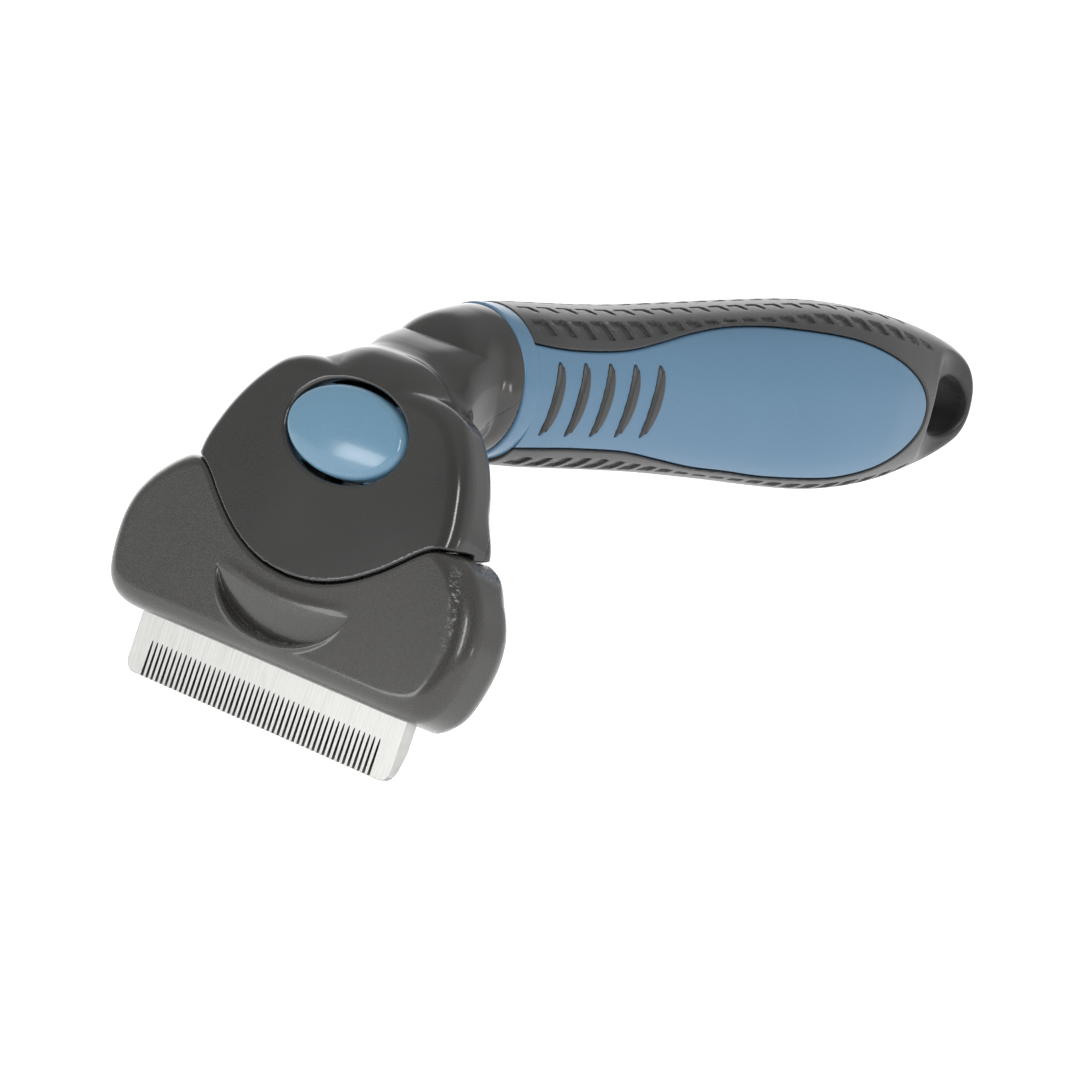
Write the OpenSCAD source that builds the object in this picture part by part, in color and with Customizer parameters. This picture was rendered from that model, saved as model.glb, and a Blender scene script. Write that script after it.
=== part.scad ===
// Deshedding tool: a rake-shaped grooming tool with a toothed steel blade in a
// snap-out cartridge, an oval release button and a soft-grip handle.
// Frame: X across the head (the tool is symmetric about X = 0), +Y along the
// handle away from the head, +Z up with the teeth pointing down.
// The origin is under the middle of the tool, level with the tips of the teeth.

/* [Head] */
// Lean of the head face back from vertical, degrees
face_lean = 16.5; // [15:0.5:18]
// Half width of the cartridge at its widest point
cartridge_hw = 43.4; // [42:0.2:45]
// Thickness of the cartridge, front to back
cartridge_t = 12.4; // [12.3:0.1:13]
// Thickness of the head housing, front to back
housing_t = 11.4; // [11.3:0.1:11.8]
// Wall thickness of the moulded shells
wall = 2.0; // [1.8:0.1:2.0]
// Gap at the seam between the housing and the cartridge
seam_gap = 0.3; // [0.2:0.05:0.45]
// Radius of the rounding along the front edges of the shells
front_r = 3.4; // [2.4:0.2:3.6]

/* [Blade] */
// Number of slots cut in the blade
slot_count = 47; // [39:2:49]
// Distance from one slot to the next
slot_pitch = 1.27; // [1.1:0.01:1.29]
// Length of a slot
slot_len = 6.5; // [5:0.5:7]
// Width of a slot at the tips of the teeth
slot_w = 0.62; // [0.45:0.01:0.7]
// Half width of the blade
blade_hw = 33.9; // [33.3:0.1:34]
// Thickness of the blade
blade_t = 2.4; // [2:0.1:2.5]
// Lean of the blade against the head face, degrees
blade_lean = 6.1; // [5.5:0.1:6.5]

/* [Button] */
// Half length of the oval button hole, across the head
hole_a = 14.5; // [13.4:0.1:14.6]
// Half height of the oval button hole
hole_b = 8.8; // [8.4:0.1:8.8]
// Gap between the button cap and its hole
button_gap = 0.4; // [0.3:0.05:0.6]
// Rise of the domed button cap over the face
button_rise = 1.6; // [1:0.1:2.4]

/* [Handle] */
// Length of the handle from the collar to the tail
handle_len = 127.5; // [124:0.5:132]
// Radius of the collar ring
collar_r = 13.45; // [13.2:0.05:13.8]
// Width of the collar ring along the handle
collar_w = 3.5; // [3:0.1:3.5]
// Thickness of the soft skin over the handle core
skin_t = 1.8; // [1.5:0.1:2]
// Radius of the hanging hole
hang_r = 5.5; // [4.5:0.1:5.6]
// Distance of the hanging hole from the collar
hang_y = 117.2; // [116.8:0.1:117.6]
// Number of curved rubber ribs on each side
rib_count = 5; // [3:1:5]
// Distance between the ribs
rib_pitch = 6.35; // [6:0.05:6.4]

/* [Hidden] */
$fn = 48;

grey = [0.31, 0.305, 0.30];
dark = [0.28, 0.28, 0.285];
blue = [0.48, 0.64, 0.75];
steel = [0.85, 0.85, 0.83];

collar_at = [0, -44.895, 61.064]; // centre of the collar's head end
face_at = [0, -34.6, -36];        // face origin, from the collar
half_gap = 0.08;                  // half of the parting gap between two shells
housing_part = 9.3;               // depth of the parting plane of the housing
cart_part = 10.3;                 // depth of the parting plane of the cartridge

// fasteners
screw_r = 1.1;
screw_head_r = 2.9;
screw_head_t = 0.95;
screw_sink = 1.1;                 // depth of the recess for a screw head
pilot_r = 1.15;
clearance_r = 1.7;
cart_boss_r = 3.2;
pin_r = 1.5;
pin_hole_r = pin_r + 0.05;

// ---------------------------------------------------------------- frames
// the collar frame, in which the head and the handle are drawn
module placed() translate(collar_at) children();
// face frame: X across, Y depth behind the face, Z height along the face
module on_face() translate(face_at) rotate([-face_lean, 0, 0]) children();
// [y, z] in the collar frame of a point of the face frame
function face_point(depth, height) = [
    face_at[1] + depth*cos(face_lean) + height*sin(face_lean),
    face_at[2] - depth*sin(face_lean) + height*cos(face_lean)];
module both() {
    children();
    mirror([1, 0, 0]) children();
}
// side is 1 for +X and -1 for -X
module on_side(side) mirror([side > 0 ? 0 : 1, 0, 0]) children();

// ---------------------------------------------------------------- solids
// a cylinder along Y; at is [x, z]
module rod(at, y0, y1, r) translate([at[0], y0, at[1]]) rotate([-90, 0, 0])
    cylinder(h = y1 - y0, r = r);
// a cylinder along X; at is [y, z]
module cross_rod(at, half_len, r) translate([-half_len, at[0], at[1]]) rotate([0, 90, 0])
    cylinder(h = 2*half_len, r = r);
module block(low, high) translate(low) cube(high - low);
// an [x, z] outline extruded along Y
module prism(path, y0, y1) translate([0, y1, 0]) rotate([90, 0, 0])
    linear_extrude(y1 - y0) polygon(path);
// a [y, z] outline extruded along X
module across(path, x0, x1) rotate([90, 0, 90]) translate([0, 0, x0])
    linear_extrude(x1 - x0) polygon(path);
// a closed skin through rings that have the same number of points
module skin(rings) {
    n = len(rings[0]);
    m = len(rings);
    polyhedron(points = [for (ring = rings) each ring], faces = concat(
        [[for (i = [n - 1:-1:0]) i]],
        [for (j = [0:m - 2], i = [0:n - 1]) each let (k = (i + 1)%n)
            [[j*n + i, j*n + k, (j + 1)*n + k], [j*n + i, (j + 1)*n + k, (j + 1)*n + i]]],
        [[for (i = [0:n - 1]) (m - 1)*n + i]]), convexity = 8);
}
// a face outline given depth, with its edges rounded: rows of [depth, inset]
module pebble(path, rows)
    skin([for (row = rows) [for (p = inset(path, row[1])) [p[0], row[0], p[1]]]]);
// merges curved pieces into one surface
module merged() resize([0, 0, 0]) children();

// ---------------------------------------------------------------- curves
function last(list) = list[len(list) - 1];
function reversed(list) = [for (i = [len(list) - 1:-1:0]) list[i]];
function unit(v) = v/max(norm(v), 1e-6);
function catmull_rom(a, b, c, d, t) =
    0.5*(2*b + (c - a)*t + (2*a - 5*b + 4*c - d)*t*t + (3*b - a - 3*c + d)*t*t*t);
// a curve through the points, without the last one
function smooth(pts, steps) = [for (i = [0:len(pts) - 2], k = [0:steps - 1])
    catmull_rom(pts[max(i - 1, 0)], pts[i], pts[i + 1], pts[min(i + 2, len(pts) - 1)], k/steps)];
function smooth_to_end(pts, steps) = concat(smooth(pts, steps), [last(pts)]);
// the mirror image of the right half closes an outline
function whole(half) = concat(half, [for (p = reversed(half)) if (p[0] > 0.01) [-p[0], p[1]]]);
// moves each point of an anticlockwise outline inwards
function inset(path, d) = let (n = len(path)) [for (i = [0:n - 1])
    let (along = unit(path[(i + 1)%n] - path[(i + n - 1)%n]))
    path[i] - d*[along[1], -along[0]]];
// a smooth value between the rows of a table, each row [position, value]
function lookup_smooth(table, u, i = 0) = i >= len(table) - 2 || u <= table[i + 1][0]
    ? let (a = table[max(i - 1, 0)], b = table[i], c = table[i + 1],
           d = table[min(i + 2, len(table) - 1)],
           h = c[0] - b[0], t = max(0, min(1, (u - b[0])/h)),
           slope_b = (c[1] - a[1])/(c[0] - a[0])*h, slope_c = (d[1] - b[1])/(d[0] - b[0])*h)
      (2*t*t*t - 3*t*t + 1)*b[1] + (t*t*t - 2*t*t + t)*slope_b
      + (-2*t*t*t + 3*t*t)*c[1] + (t*t*t - t*t)*slope_c
    : lookup_smooth(table, u, i + 1);
function signed_pow(v, power) = sign(v)*pow(abs(v), power);
// a squared-off oval; a lower power is squarer
function superoval(half_w, half_h, power, sides) = [for (i = [0:sides - 1])
    let (a = 360*i/sides) [signed_pow(cos(a), power)*half_w, signed_pow(sin(a), power)*half_h]];

// ---------------------------------------------------------------- outlines on the face
// right halves, [x, height]
seam_pts = [[0, 1.5], [5, 1.9], [9.5, 2.9], [14.4, 4.8], [19.2, 7.5], [23, 10.2],
            [26.2, 12.7], [29, 14.4], [32, 15.2]];
side_pts = [[32.3, 15.5], [32.2, 18], [31.5, 21], [29.6, 26], [26.6, 31], [22.8, 35.2],
            [19.4, 37.2], [15, 38.2], [0, 38.5]];
cart_pts = [[0, -13.4], [31, -13.4], [35.5, -13.2], [38.6, -12.2], [41, -9.8], [42.6, -5.6],
            [43.4, 0], [42.7, 4.9], [40.8, 8.8], [38.2, 11.9], [35.4, 14.2], [32.9, 15]];
cart_scale = cartridge_hw/max([for (p = cart_pts) p[0]]);

function seam(rise) = [for (p = smooth(seam_pts, 2)) [p[0], p[1] + rise]];
housing_path = whole(concat(seam(seam_gap/2), smooth_to_end(side_pts, 3)));
hollow_path = whole(concat(
    [[0, -6]],
    [for (p = seam(0)) if (p[0] > 0 && p[0] < 29.4) [p[0], p[1] - 4]],
    [[29.9, 11], [29.9, 18]],
    [for (p = smooth(side_pts, 3)) if (p[1] > 18.5 && p[1] < 37.5)
        p - wall*unit([p[0]*0.75, p[1] - 20])],
    [[0, 36.5]]));
// the straight lower edge needs no points between its ends
cart_path = whole(concat(
    [for (p = smooth(cart_pts, 3)) if (p[0] < 1 || p[0] > 30) [p[0]*cart_scale, p[1]]],
    reversed(seam(-seam_gap/2))));
cart_room = inset(cart_path, wall);
// rounding of the front edges, [depth, inset]
front_rows = front_r*[[0, 0.72], [0.1, 0.44], [0.4, 0.13], [1, 0]];

button_height = 27.5;             // height of the button on the face
function oval(half_len, half_height, sides = 64) = [for (i = [0:sides - 1])
    let (a = 360*i/sides) [half_len*cos(a), button_height + half_height*sin(a)]];

// ---------------------------------------------------------------- head housing
// neck sections: [top y, top z, bottom y, bottom z, half width]
neck_rows = [
    [-20.8, 0, -27, -21, 17.2], [-17.8, 4.2, -22, -21.6, 15], [-13.8, 7.6, -16, -20.4, 13],
    [-9.3, 10.1, -10, -17, 11.8], [-4.5, 12.2, -4.5, -14.2, 12.1], [-0.1, 13.3, -0.1, -13.3, 13.3]];
housing_screw_at = [[20.5, 29.5], [22.5, 13.6]];
housing_boss_r = 3;
latch_screw_at = [0, 15];
spring_at = [0, 31.8];            // axis of the button spring
axis = [0, 0];                    // axis of the collar
spigot_r = 9.3;
spigot_bore_r = 7.2;
spigot_end = 15;
bolt_hole_r = 2.2;
neck_room_hw = 15.2;              // half width of the parting that follows the neck

function neck_ring(row, depth) =
    let (top = [row[0], row[1]], bottom = [row[2], row[3]],
         mid = (top + bottom)/2, up = unit(top - bottom))
    [for (p = superoval(row[4] - depth, norm(top - bottom)/2 - depth, 0.92, 32))
        [p[0], mid[0] + up[0]*p[1], mid[1] + up[1]*p[1]]];
module neck(depth) skin([for (row = smooth_to_end(neck_rows, 2)) neck_ring(row, depth)]);

module head_solid() {
    on_face() pebble(housing_path, concat(front_rows,
        [[housing_t - 1, 0], [housing_t - 0.3, 0.25], [housing_t, 0.9]]));
    neck(0);
    rod(axis, -3, spigot_end, spigot_r);
}
module head_hollow() {
    on_face() prism(hollow_path, wall, housing_part + 0.1);
    intersection() {
        neck(2.2);
        block([-30, -60, -40], [30, -2.4, 40]);
    }
    rod(axis, -4, spigot_end - 3, spigot_bore_r);
}
module neck_bolt_hole() rod(axis, 11, 17, bolt_hole_r);

// the parting of the two shells, [y, z]: level with the back plate beside the
// neck, then along the neck to the collar
function parting(shift) = concat(
    [for (p = [face_point(housing_part, -40), face_point(housing_part, 22), [0, 0]])
        p + [shift, -shift]],
    [[40, -shift]]);
module front_room() {
    hw = neck_room_hw - half_gap;
    across(concat(parting(-half_gap), [[40, 60], [-90, 60], [-90, -90]]), -hw, hw);
    on_face() block([-60, -9, -40], [60, housing_part - half_gap, 60]);
}
module rear_room() {
    hw = neck_room_hw + 2*half_gap;
    across(concat(parting(half_gap), [[40, -110]]), -hw, hw);
    on_face() both()
        block([neck_room_hw + half_gap, housing_part + half_gap, -40], [60, 30, 60]);
}

// a screw hole with a recess for the head in the back of a shell
module screw_seat(at, depth0, depth1, thickness) {
    rod(at, depth0, depth1, clearance_r);
    rod(at, thickness - screw_sink, 14, screw_head_r + 0.2);
}
module cross_slot(at, depth0, depth1, reach, half_w = 0.25) for (half = [[reach, half_w], [half_w, reach]])
    block([at[0] - half[0], depth0, at[1] - half[1]], [at[0] + half[0], depth1, at[1] + half[1]]);
// cross-head screw along the depth direction, its head sunk in the back of a shell
module screw(at, depth0, thickness) {
    end = thickness - 0.1;
    difference() {
        union() {
            rod(at, depth0, end - screw_head_t, screw_r);
            rod(at, end - screw_head_t, end, screw_head_r);
        }
        cross_slot(at, end - screw_head_t*0.6, end + 1, screw_head_r*0.6);
    }
}

module front_housing() color(grey) placed() difference() {
    merged() {
        difference() {
            intersection() {
                head_solid();
                front_room();
            }
            head_hollow();
            on_face() prism(oval(hole_a, hole_b), -5, 5);
        }
        on_face() both() {
            // rail beside the tongue
            block([13.3, wall - 0.3, 7], [15.2, housing_part - 0.4, 19.2]);
            for (at = housing_screw_at) rod(at, wall - 0.3, housing_part - 0.2, housing_boss_r);
        }
    }
    on_face() both()
        for (at = housing_screw_at) rod(at, wall + 1, housing_part + 1, pilot_r);
    neck_bolt_hole();
}
module rear_housing() color(grey) placed() difference() {
    merged() {
        difference() {
            intersection() {
                head_solid();
                rear_room();
            }
            head_hollow();
        }
        on_face() {
            rod(latch_screw_at, 8.2, housing_part + 0.6, 3.4);
            // post and spigot behind the button spring
            rod(spring_at, 7.5, 23.2, 2.5);
            rod(spring_at, 6.4, 8, 1.5);
        }
    }
    on_face() {
        both() for (at = housing_screw_at) screw_seat(at, 8, 13, housing_t);
        rod(latch_screw_at, 7, 10.8, pilot_r);
    }
    neck_bolt_hole();
}
module housing_screws() color(steel) placed() on_face() both()
    for (at = housing_screw_at) screw(at, wall + 1.3, housing_t);

// ---------------------------------------------------------------- button and latch
cap_a = hole_a - button_gap;
cap_b = hole_b - button_gap - 0.5;  // the gap is wider above and below
cap_back = 3.2;
latch_front = 7.6;
latch_back = 8.1;

// rings of the domed cap, from its crown to its rim
function dome_rings(steps = 6) = [for (k = [steps:-1:0])
    let (a = 90*k/steps, shrink = sin(90 - a*0.93))
    [for (p = oval(cap_a*shrink, cap_b*shrink, 48))
        [p[0], 0.25 - (button_rise + 0.2)*sin(a), p[1]]]];
module release_button() color(blue) placed() on_face() difference() {
    union() {
        prism(oval(cap_a, cap_b), 0.2, cap_back);
        merged() skin(dome_rings());
        // flange behind the face
        intersection() {
            prism(oval(16.2, 10), 2.15, cap_back);
            block([-20, 0, button_height - 7], [20, 5, button_height + 7]);
        }
        block([-4, 3, 23.2], [4, 7.4, 28.8]);
    }
    rod(spring_at, 1.6, 4, 2.7);
}
// rings of round wire wound about Y
function coil(y0, y1, coil_r, wire_r, turns, steps = 16, sides = 6) = [for (i = [0:turns*steps])
    let (a = 360*i/steps, y = y0 + wire_r + (y1 - y0 - 2*wire_r)*i/(turns*steps))
    [for (k = [0:sides - 1])
        let (b = -360*k/sides, r = coil_r + wire_r*cos(b))
        [r*cos(a), y + wire_r*sin(b), r*sin(a)]]];
module button_spring() color(steel) placed() on_face() translate([0, 0, spring_at[1]])
    skin(coil(y0 = 1.7, y1 = 7.4, coil_r = 2.15, wire_r = 0.28, turns = 5));
// T-shaped leaf with two lips bent towards the face
module latch_spring() color(steel) placed() on_face() difference() {
    union() {
        block([-3.4, latch_front, 12], [3.4, latch_back, 23.2]);
        block([-11, latch_front, 23], [11, latch_back, 26.2]);
        both() block([7.4, 5.6, 25.5], [10.6, latch_back, 26]);
    }
    rod(latch_screw_at, 7, 9, 1.2);
}
module latch_screw() color(steel) placed() on_face() difference() {
    union() {
        rod(latch_screw_at, 6.6, 7.55, 2.4);
        rod(latch_screw_at, 7.5, 10.6, screw_r);
    }
    cross_slot(latch_screw_at, 6, 7.1, 1.5);
}

// ---------------------------------------------------------------- cartridge
inner_screw_at = [9, -2];
outer_screw_at = [33, 1];
blade_pin_at = [21, -9.4];
pin_boss_r = 2.8;
tongue_hw = 13;
tongue_front = 5;
tongue_back = 7;
// right half of the fork, [x, height]
tongue_pts = [[tongue_hw, -5.3], [tongue_hw, 26.4], [11.4, 28.2], [5.5, 28.2], [5.5, 11.2]];

module cartridge_front() color(grey) placed() on_face() difference() {
    merged() {
        difference() {
            pebble(cart_path, concat(front_rows, [[cart_part, 0]]));
            prism(cart_room, wall, cart_part + 1);
            // shallow dish in the face
            translate([0, -2.6, -5.2]) scale([17.5, 3.6, 5.1]) sphere(r = 1, $fn = 28);
        }
        both() {
            rod(inner_screw_at, wall - 0.3, 4.9, cart_boss_r);
            rod(outer_screw_at, wall - 0.3, cart_part - 0.1, cart_boss_r);
            rod(blade_pin_at, wall - 0.3, 4.7, pin_boss_r);
        }
    }
    // room for the tongue and the blade
    block([-tongue_hw - 0.2, tongue_front - 0.15, -7.6], [tongue_hw + 0.2, tongue_back + 0.15, 8]);
    block([-blade_hw - 0.2, 5.15, -16], [blade_hw + 0.2, 8.3, -11]);
    both() {
        rod(inner_screw_at, 2.6, 6, pilot_r);
        rod(outer_screw_at, 4, cart_part + 1, pilot_r);
        rod(blade_pin_at, 3, 6, pin_hole_r);
    }
}
module cartridge_rear() color(grey) placed() on_face() difference() {
    merged() {
        pebble(cart_path, [[cart_part + 2*half_gap, 0], [cartridge_t - 0.9, 0],
                           [cartridge_t - 0.3, 0.3], [cartridge_t, 1]]);
        both() intersection() {
            union() {
                rod(inner_screw_at, 7.1, cart_part + 0.6, cart_boss_r);
                rod(blade_pin_at, 8.4, cart_part + 0.6, pin_boss_r);
            }
            prism(inset(cart_room, 0.15), 5, cart_part + 1);
        }
    }
    both() {
        for (at = [inner_screw_at, outer_screw_at]) screw_seat(at, 6, 14, cartridge_t);
        rod(blade_pin_at, 8, 10.6, pin_hole_r);
    }
}
module cartridge_screws() color(steel) placed() on_face() both() {
    screw(inner_screw_at, 2.9, cartridge_t);
    screw(outer_screw_at, 4.3, cartridge_t);
}
// fork plate that slides up between the rails of the housing
module cartridge_tongue() color(dark) placed() on_face() difference() {
    prism(whole(tongue_pts), tongue_front, tongue_back);
    both() {
        block([7, 4, 22.4], [11, 8, 26.2]);
        rod(inner_screw_at, 4, 8, 1.6);
    }
}

// ---------------------------------------------------------------- blade
blade_at = [0, 6.23, -19.08];     // origin of the blade frame on the face
blade_low = -4.9;                 // tips of the teeth in the blade frame
blade_top = 13;
bevel_h = 5.5;                    // height of the bevel behind the teeth
corner_r = 2.4;
// [y, z]
blade_section = [[0, blade_low], [1, blade_low], [blade_t, blade_low + bevel_h],
                 [blade_t, blade_top], [0, blade_top]];
// [x, z]
blade_path = whole(concat(
    [[0, blade_low]],
    [for (a = [-90:15:0])
        [blade_hw - corner_r + corner_r*cos(a)*0.98, blade_low + corner_r + corner_r*sin(a)]],
    [[blade_hw, 4], [blade_hw, blade_top], [0, blade_top]]));
slot_knee = [slot_w*0.36, blade_low + slot_len*0.72];
slot_path = [[-slot_w/2, blade_low - 1], [slot_w/2, blade_low - 1], slot_knee,
             [0, blade_low + slot_len], [-slot_knee[0], slot_knee[1]]];

module blade_frame() translate(blade_at) rotate([blade_lean, 0, 0]) children();
module comb_blade() color(steel) placed() on_face() difference() {
    blade_frame() intersection() {
        across(blade_section, -blade_hw, blade_hw);
        prism(blade_path, -1, 5);
    }
    blade_frame() for (i = [0:slot_count - 1])
        translate([(i - (slot_count - 1)/2)*slot_pitch, 0, 0]) prism(slot_path, -2, 6);
    both() rod(blade_pin_at, 2, 12, pin_r + 0.1);
}
module blade_pins() color(steel) placed() on_face() both() rod(blade_pin_at, 3.3, 10.3, pin_r);

// ---------------------------------------------------------------- handle surfaces
// [distance from the collar, value], for the default length of handle
top_z = [[0, 13.6], [29, 13.8], [46, 14.8], [64, 16], [78, 16.7], [87, 16.6], [97, 15.8],
         [107, 14.2], [117, 11.6], [123, 9], [127.5, 4.4]];
low_z = [[0, -13.7], [6, -14.4], [39, -15], [58, -16], [76, -17.2], [86, -17.4], [95, -16.7],
         [104, -15.2], [112, -13], [118, -10.8], [124, -7.6], [127.5, -4]];
half_w = [[0, 13.4], [29, 12.3], [46, 12.3], [64, 13], [80, 13.7], [95, 13.1], [104, 11.6],
          [110, 9], [114, 7.4], [122, 6.6], [127.5, 4]];
// side panel outline, [y, z]
panel_pts = [
    [0, 9.3], [9, 8.3], [18, 8], [27, 8.4], [35, 9.7], [43, 11.3], [52, 12.6], [61, 13.2],
    [70, 13.2], [80, 12.7], [88, 11.6], [96, 9.2], [102.3, 5.9], [105.6, 2.6], [106.6, -0.4],
    [105.6, -4.2], [101.6, -8.2], [95.8, -11.2], [88.5, -13.1], [82, -13.7], [69, -13.8],
    [60, -13.1], [50, -12.4], [40.5, -11], [31, -9.6], [22, -9.2], [13, -9.1], [0, -9.5]];
len_scale = handle_len/last(top_z)[0];
grip_start = collar_w + 0.1;
core_end = 106*len_scale;
panel_path = [for (p = reversed(smooth_to_end(panel_pts, 2))) [p[0]*len_scale, p[1]]];

function grip_ring(y, depth) =
    let (u = y/len_scale, top = lookup_smooth(top_z, u), low = lookup_smooth(low_z, u))
    [for (p = superoval(lookup_smooth(half_w, u) - depth, (top - low)/2 - depth, 0.87, 36))
        [p[0], y, (top + low)/2 + p[1]]];
function grip_rings(depth, y0, y1, steps) =
    [for (i = [0:steps]) grip_ring(y0 + (y1 - y0)*i/steps, depth)];
module grip_loft(depth, y0, y1, steps) skin(grip_rings(depth, y0, y1, steps));
// the core under the soft skin; the runs carry it on past its two ends
module core_loft(depth, head_run = 0, tail_run = 0) skin(concat(
    head_run > 0 ? [[for (p = grip_ring(grip_start, depth)) p - [0, head_run, 0]]] : [],
    grip_rings(depth, grip_start, core_end, 20),
    tail_run > 0 ? [[for (p = grip_ring(core_end, depth)) p + [0, tail_run, 0]]] : []));
module grip_outer(depth = 0) skin(concat(
    [for (i = [0:21]) grip_ring(grip_start + 4.82*len_scale*i, depth)],
    [for (y = [109, 113, 117, 121, 124.5]) grip_ring(y*len_scale, depth)],
    [grip_ring(handle_len - 0.9, depth), grip_ring(handle_len, depth + 1.4)]));
module panel(shrink) across(inset(panel_path, shrink), -20, 20);

// [y, z] on one edge of a rib, k from 0 at its lower end to 10 at its upper end
function rib_edge(k, edge, gap) =
    let (t = k/10, bulge = max(0, sin(180*t)),
         mid = [7 + 1.8*t + 0.6*pow(bulge, 0.6), -6.5 + 12.7*t],
         half = gap + 1.05*pow(bulge, 0.45))
    mid + [edge > 0 ? half : -half - 0.01, k == 0 ? -gap : k == 10 ? gap : 0];
module rib_prisms(side, gap) on_side(side) for (i = [0:rib_count - 1])
    translate([0, i*rib_pitch, 0]) across(concat(
        [for (k = [0:10]) rib_edge(k, 1, gap)],
        [for (k = [10:-1:0]) rib_edge(k, -1, gap)]), 0, 20);
// body left uncut under the ribs
module rib_bed(depth) grip_loft(depth, 1, 45, 10);

// ---------------------------------------------------------------- handle
core_pin_at = [[27, 7.5], [27, -7.5], [63, 0], [98, 0]];  // [y, z]
collar_bore_r = 9.45;
bolt_r = 2;

module collar_ring() color(blue) placed() rotate([-90, 0, 0]) rotate_extrude($fn = 96)
    polygon([
        [collar_bore_r, 0], [collar_r - 0.7, 0], [collar_r - 0.2, 0.25], [collar_r, 0.9],
        [collar_r, collar_w - 0.7], [collar_r - 0.25, collar_w - 0.15],
        [collar_r - 0.6, collar_w], [collar_bore_r, collar_w]]);
module core_half(side) difference() {
    merged() difference() {
        intersection() {
            union() {
                core_loft(skin_t + 0.06);
                intersection() {
                    grip_outer();
                    panel(0.1);
                }
            }
            on_side(side) block([0.04, 0, -40], [40.04, handle_len, 40]);
        }
        // two hollows along the core
        for (span = [[31, 57], [69, 92]]) grip_loft(skin_t + 2.4, span[0], span[1], 6);
        difference() {
            rib_prisms(side, 0.08);
            rib_bed(2.3);
        }
    }
    // socket for the spigot, bolt hole and nut pocket
    rod(axis, 1, 15.6, spigot_r + 0.2);
    rod(axis, 14, 28, bolt_hole_r);
    rod(axis, 19, 22.4, 3.9, $fn = 6);
    for (at = core_pin_at) cross_rod(at, 5.2, pin_hole_r);
}
module handle_core_left() color(blue) placed() core_half(-1);
module handle_core_right() color(blue) placed() core_half(1);
module core_pins() color(steel) placed() for (at = core_pin_at) cross_rod(at, 5, pin_r);
module neck_bolt() color(steel) placed() difference() {
    union() {
        rod(axis, 8.6, 11.9, 3.5);
        rod(axis, 11, 26, bolt_r);
    }
    rod(axis, 8, 10.4, 1.7, $fn = 6);
}
module neck_nut() color(steel) placed() difference() {
    rod(axis, 19.1, 22.3, 3.8, $fn = 6);
    rod(axis, 18, 24, bolt_r + 0.06);
}
module grip_overmould() color(dark) placed() difference() {
    merged() difference() {
        grip_outer();
        core_loft(skin_t, 2, 0.1);
        panel(-0.02);
    }
    cross_rod([hang_y, -0.3], 20, hang_r);
}
module ribs(side) merged() difference() {
    intersection() {
        grip_outer(-0.3);
        rib_prisms(side, 0);
    }
    rib_bed(2.2);
}
module grip_ribs_left() color(dark) placed() ribs(-1);
module grip_ribs_right() color(dark) placed() ribs(1);

front_housing();
rear_housing();
housing_screws();
release_button();
button_spring();
latch_spring();
latch_screw();
cartridge_front();
cartridge_rear();
cartridge_tongue();
comb_blade();
blade_pins();
cartridge_screws();
collar_ring();
handle_core_left();
handle_core_right();
core_pins();
neck_bolt();
neck_nut();
grip_overmould();
grip_ribs_left();
grip_ribs_right();
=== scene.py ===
"""A comb tool: a wide head on a straight handle, with a press button in the head and a detachable
cartridge below it that holds a slotted steel blade.

Tool frame, mm: origin at the collar centre, X across the head (right is +X), Y along the handle
from the head to its far end, Z up. The head's front face looks toward -Y and leans back. Points on
the head are also given in the face frame: x, depth behind the face, rise along the face.
"""
import math
from functools import reduce
from itertools import product

import bpy
import numpy as np
from mathutils import Matrix, Vector


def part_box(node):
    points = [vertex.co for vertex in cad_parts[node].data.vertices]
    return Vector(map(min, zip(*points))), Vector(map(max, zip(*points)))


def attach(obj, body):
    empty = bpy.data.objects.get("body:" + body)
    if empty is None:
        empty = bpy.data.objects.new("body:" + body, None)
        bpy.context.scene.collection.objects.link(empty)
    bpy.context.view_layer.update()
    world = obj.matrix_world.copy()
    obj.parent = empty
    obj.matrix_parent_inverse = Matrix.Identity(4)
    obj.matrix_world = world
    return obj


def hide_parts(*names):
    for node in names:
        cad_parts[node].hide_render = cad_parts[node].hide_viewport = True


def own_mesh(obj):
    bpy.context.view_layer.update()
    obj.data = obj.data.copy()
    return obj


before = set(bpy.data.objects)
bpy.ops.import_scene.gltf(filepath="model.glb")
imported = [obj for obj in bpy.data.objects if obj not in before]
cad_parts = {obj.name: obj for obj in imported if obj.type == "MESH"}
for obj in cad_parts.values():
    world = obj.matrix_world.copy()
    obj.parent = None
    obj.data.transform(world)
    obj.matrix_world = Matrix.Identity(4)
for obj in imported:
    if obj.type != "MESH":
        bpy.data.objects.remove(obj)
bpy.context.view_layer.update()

# ------------------------------------------------------------------ frames
collar_low, collar_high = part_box("collar_ring")
# the tool frame's origin in the scene, mm
ORIGIN = np.array([0.0, collar_low.y * 1000.0, (collar_low.z + collar_high.z) * 500.0])
LEAN = math.radians(16.5)
LEAN_COS, LEAN_SIN = math.cos(LEAN), math.sin(LEAN)
FACE_Y, FACE_Z = -34.6, -36.0       # origin of the face frame


def to_scene(points):
    """tool frame in mm to scene metres"""
    return (np.asarray(points, float) + ORIGIN) / 1000.0


def to_face(x, y, z):
    """side = |x|, depth behind the face, rise along it"""
    back, up = y - FACE_Y, z - FACE_Z
    return np.abs(x), back * LEAN_COS - up * LEAN_SIN, back * LEAN_SIN + up * LEAN_COS


def from_face(x, depth, rise):
    return np.stack([x, FACE_Y + depth * LEAN_COS + rise * LEAN_SIN,
                     FACE_Z - depth * LEAN_SIN + rise * LEAN_COS], -1)


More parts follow.
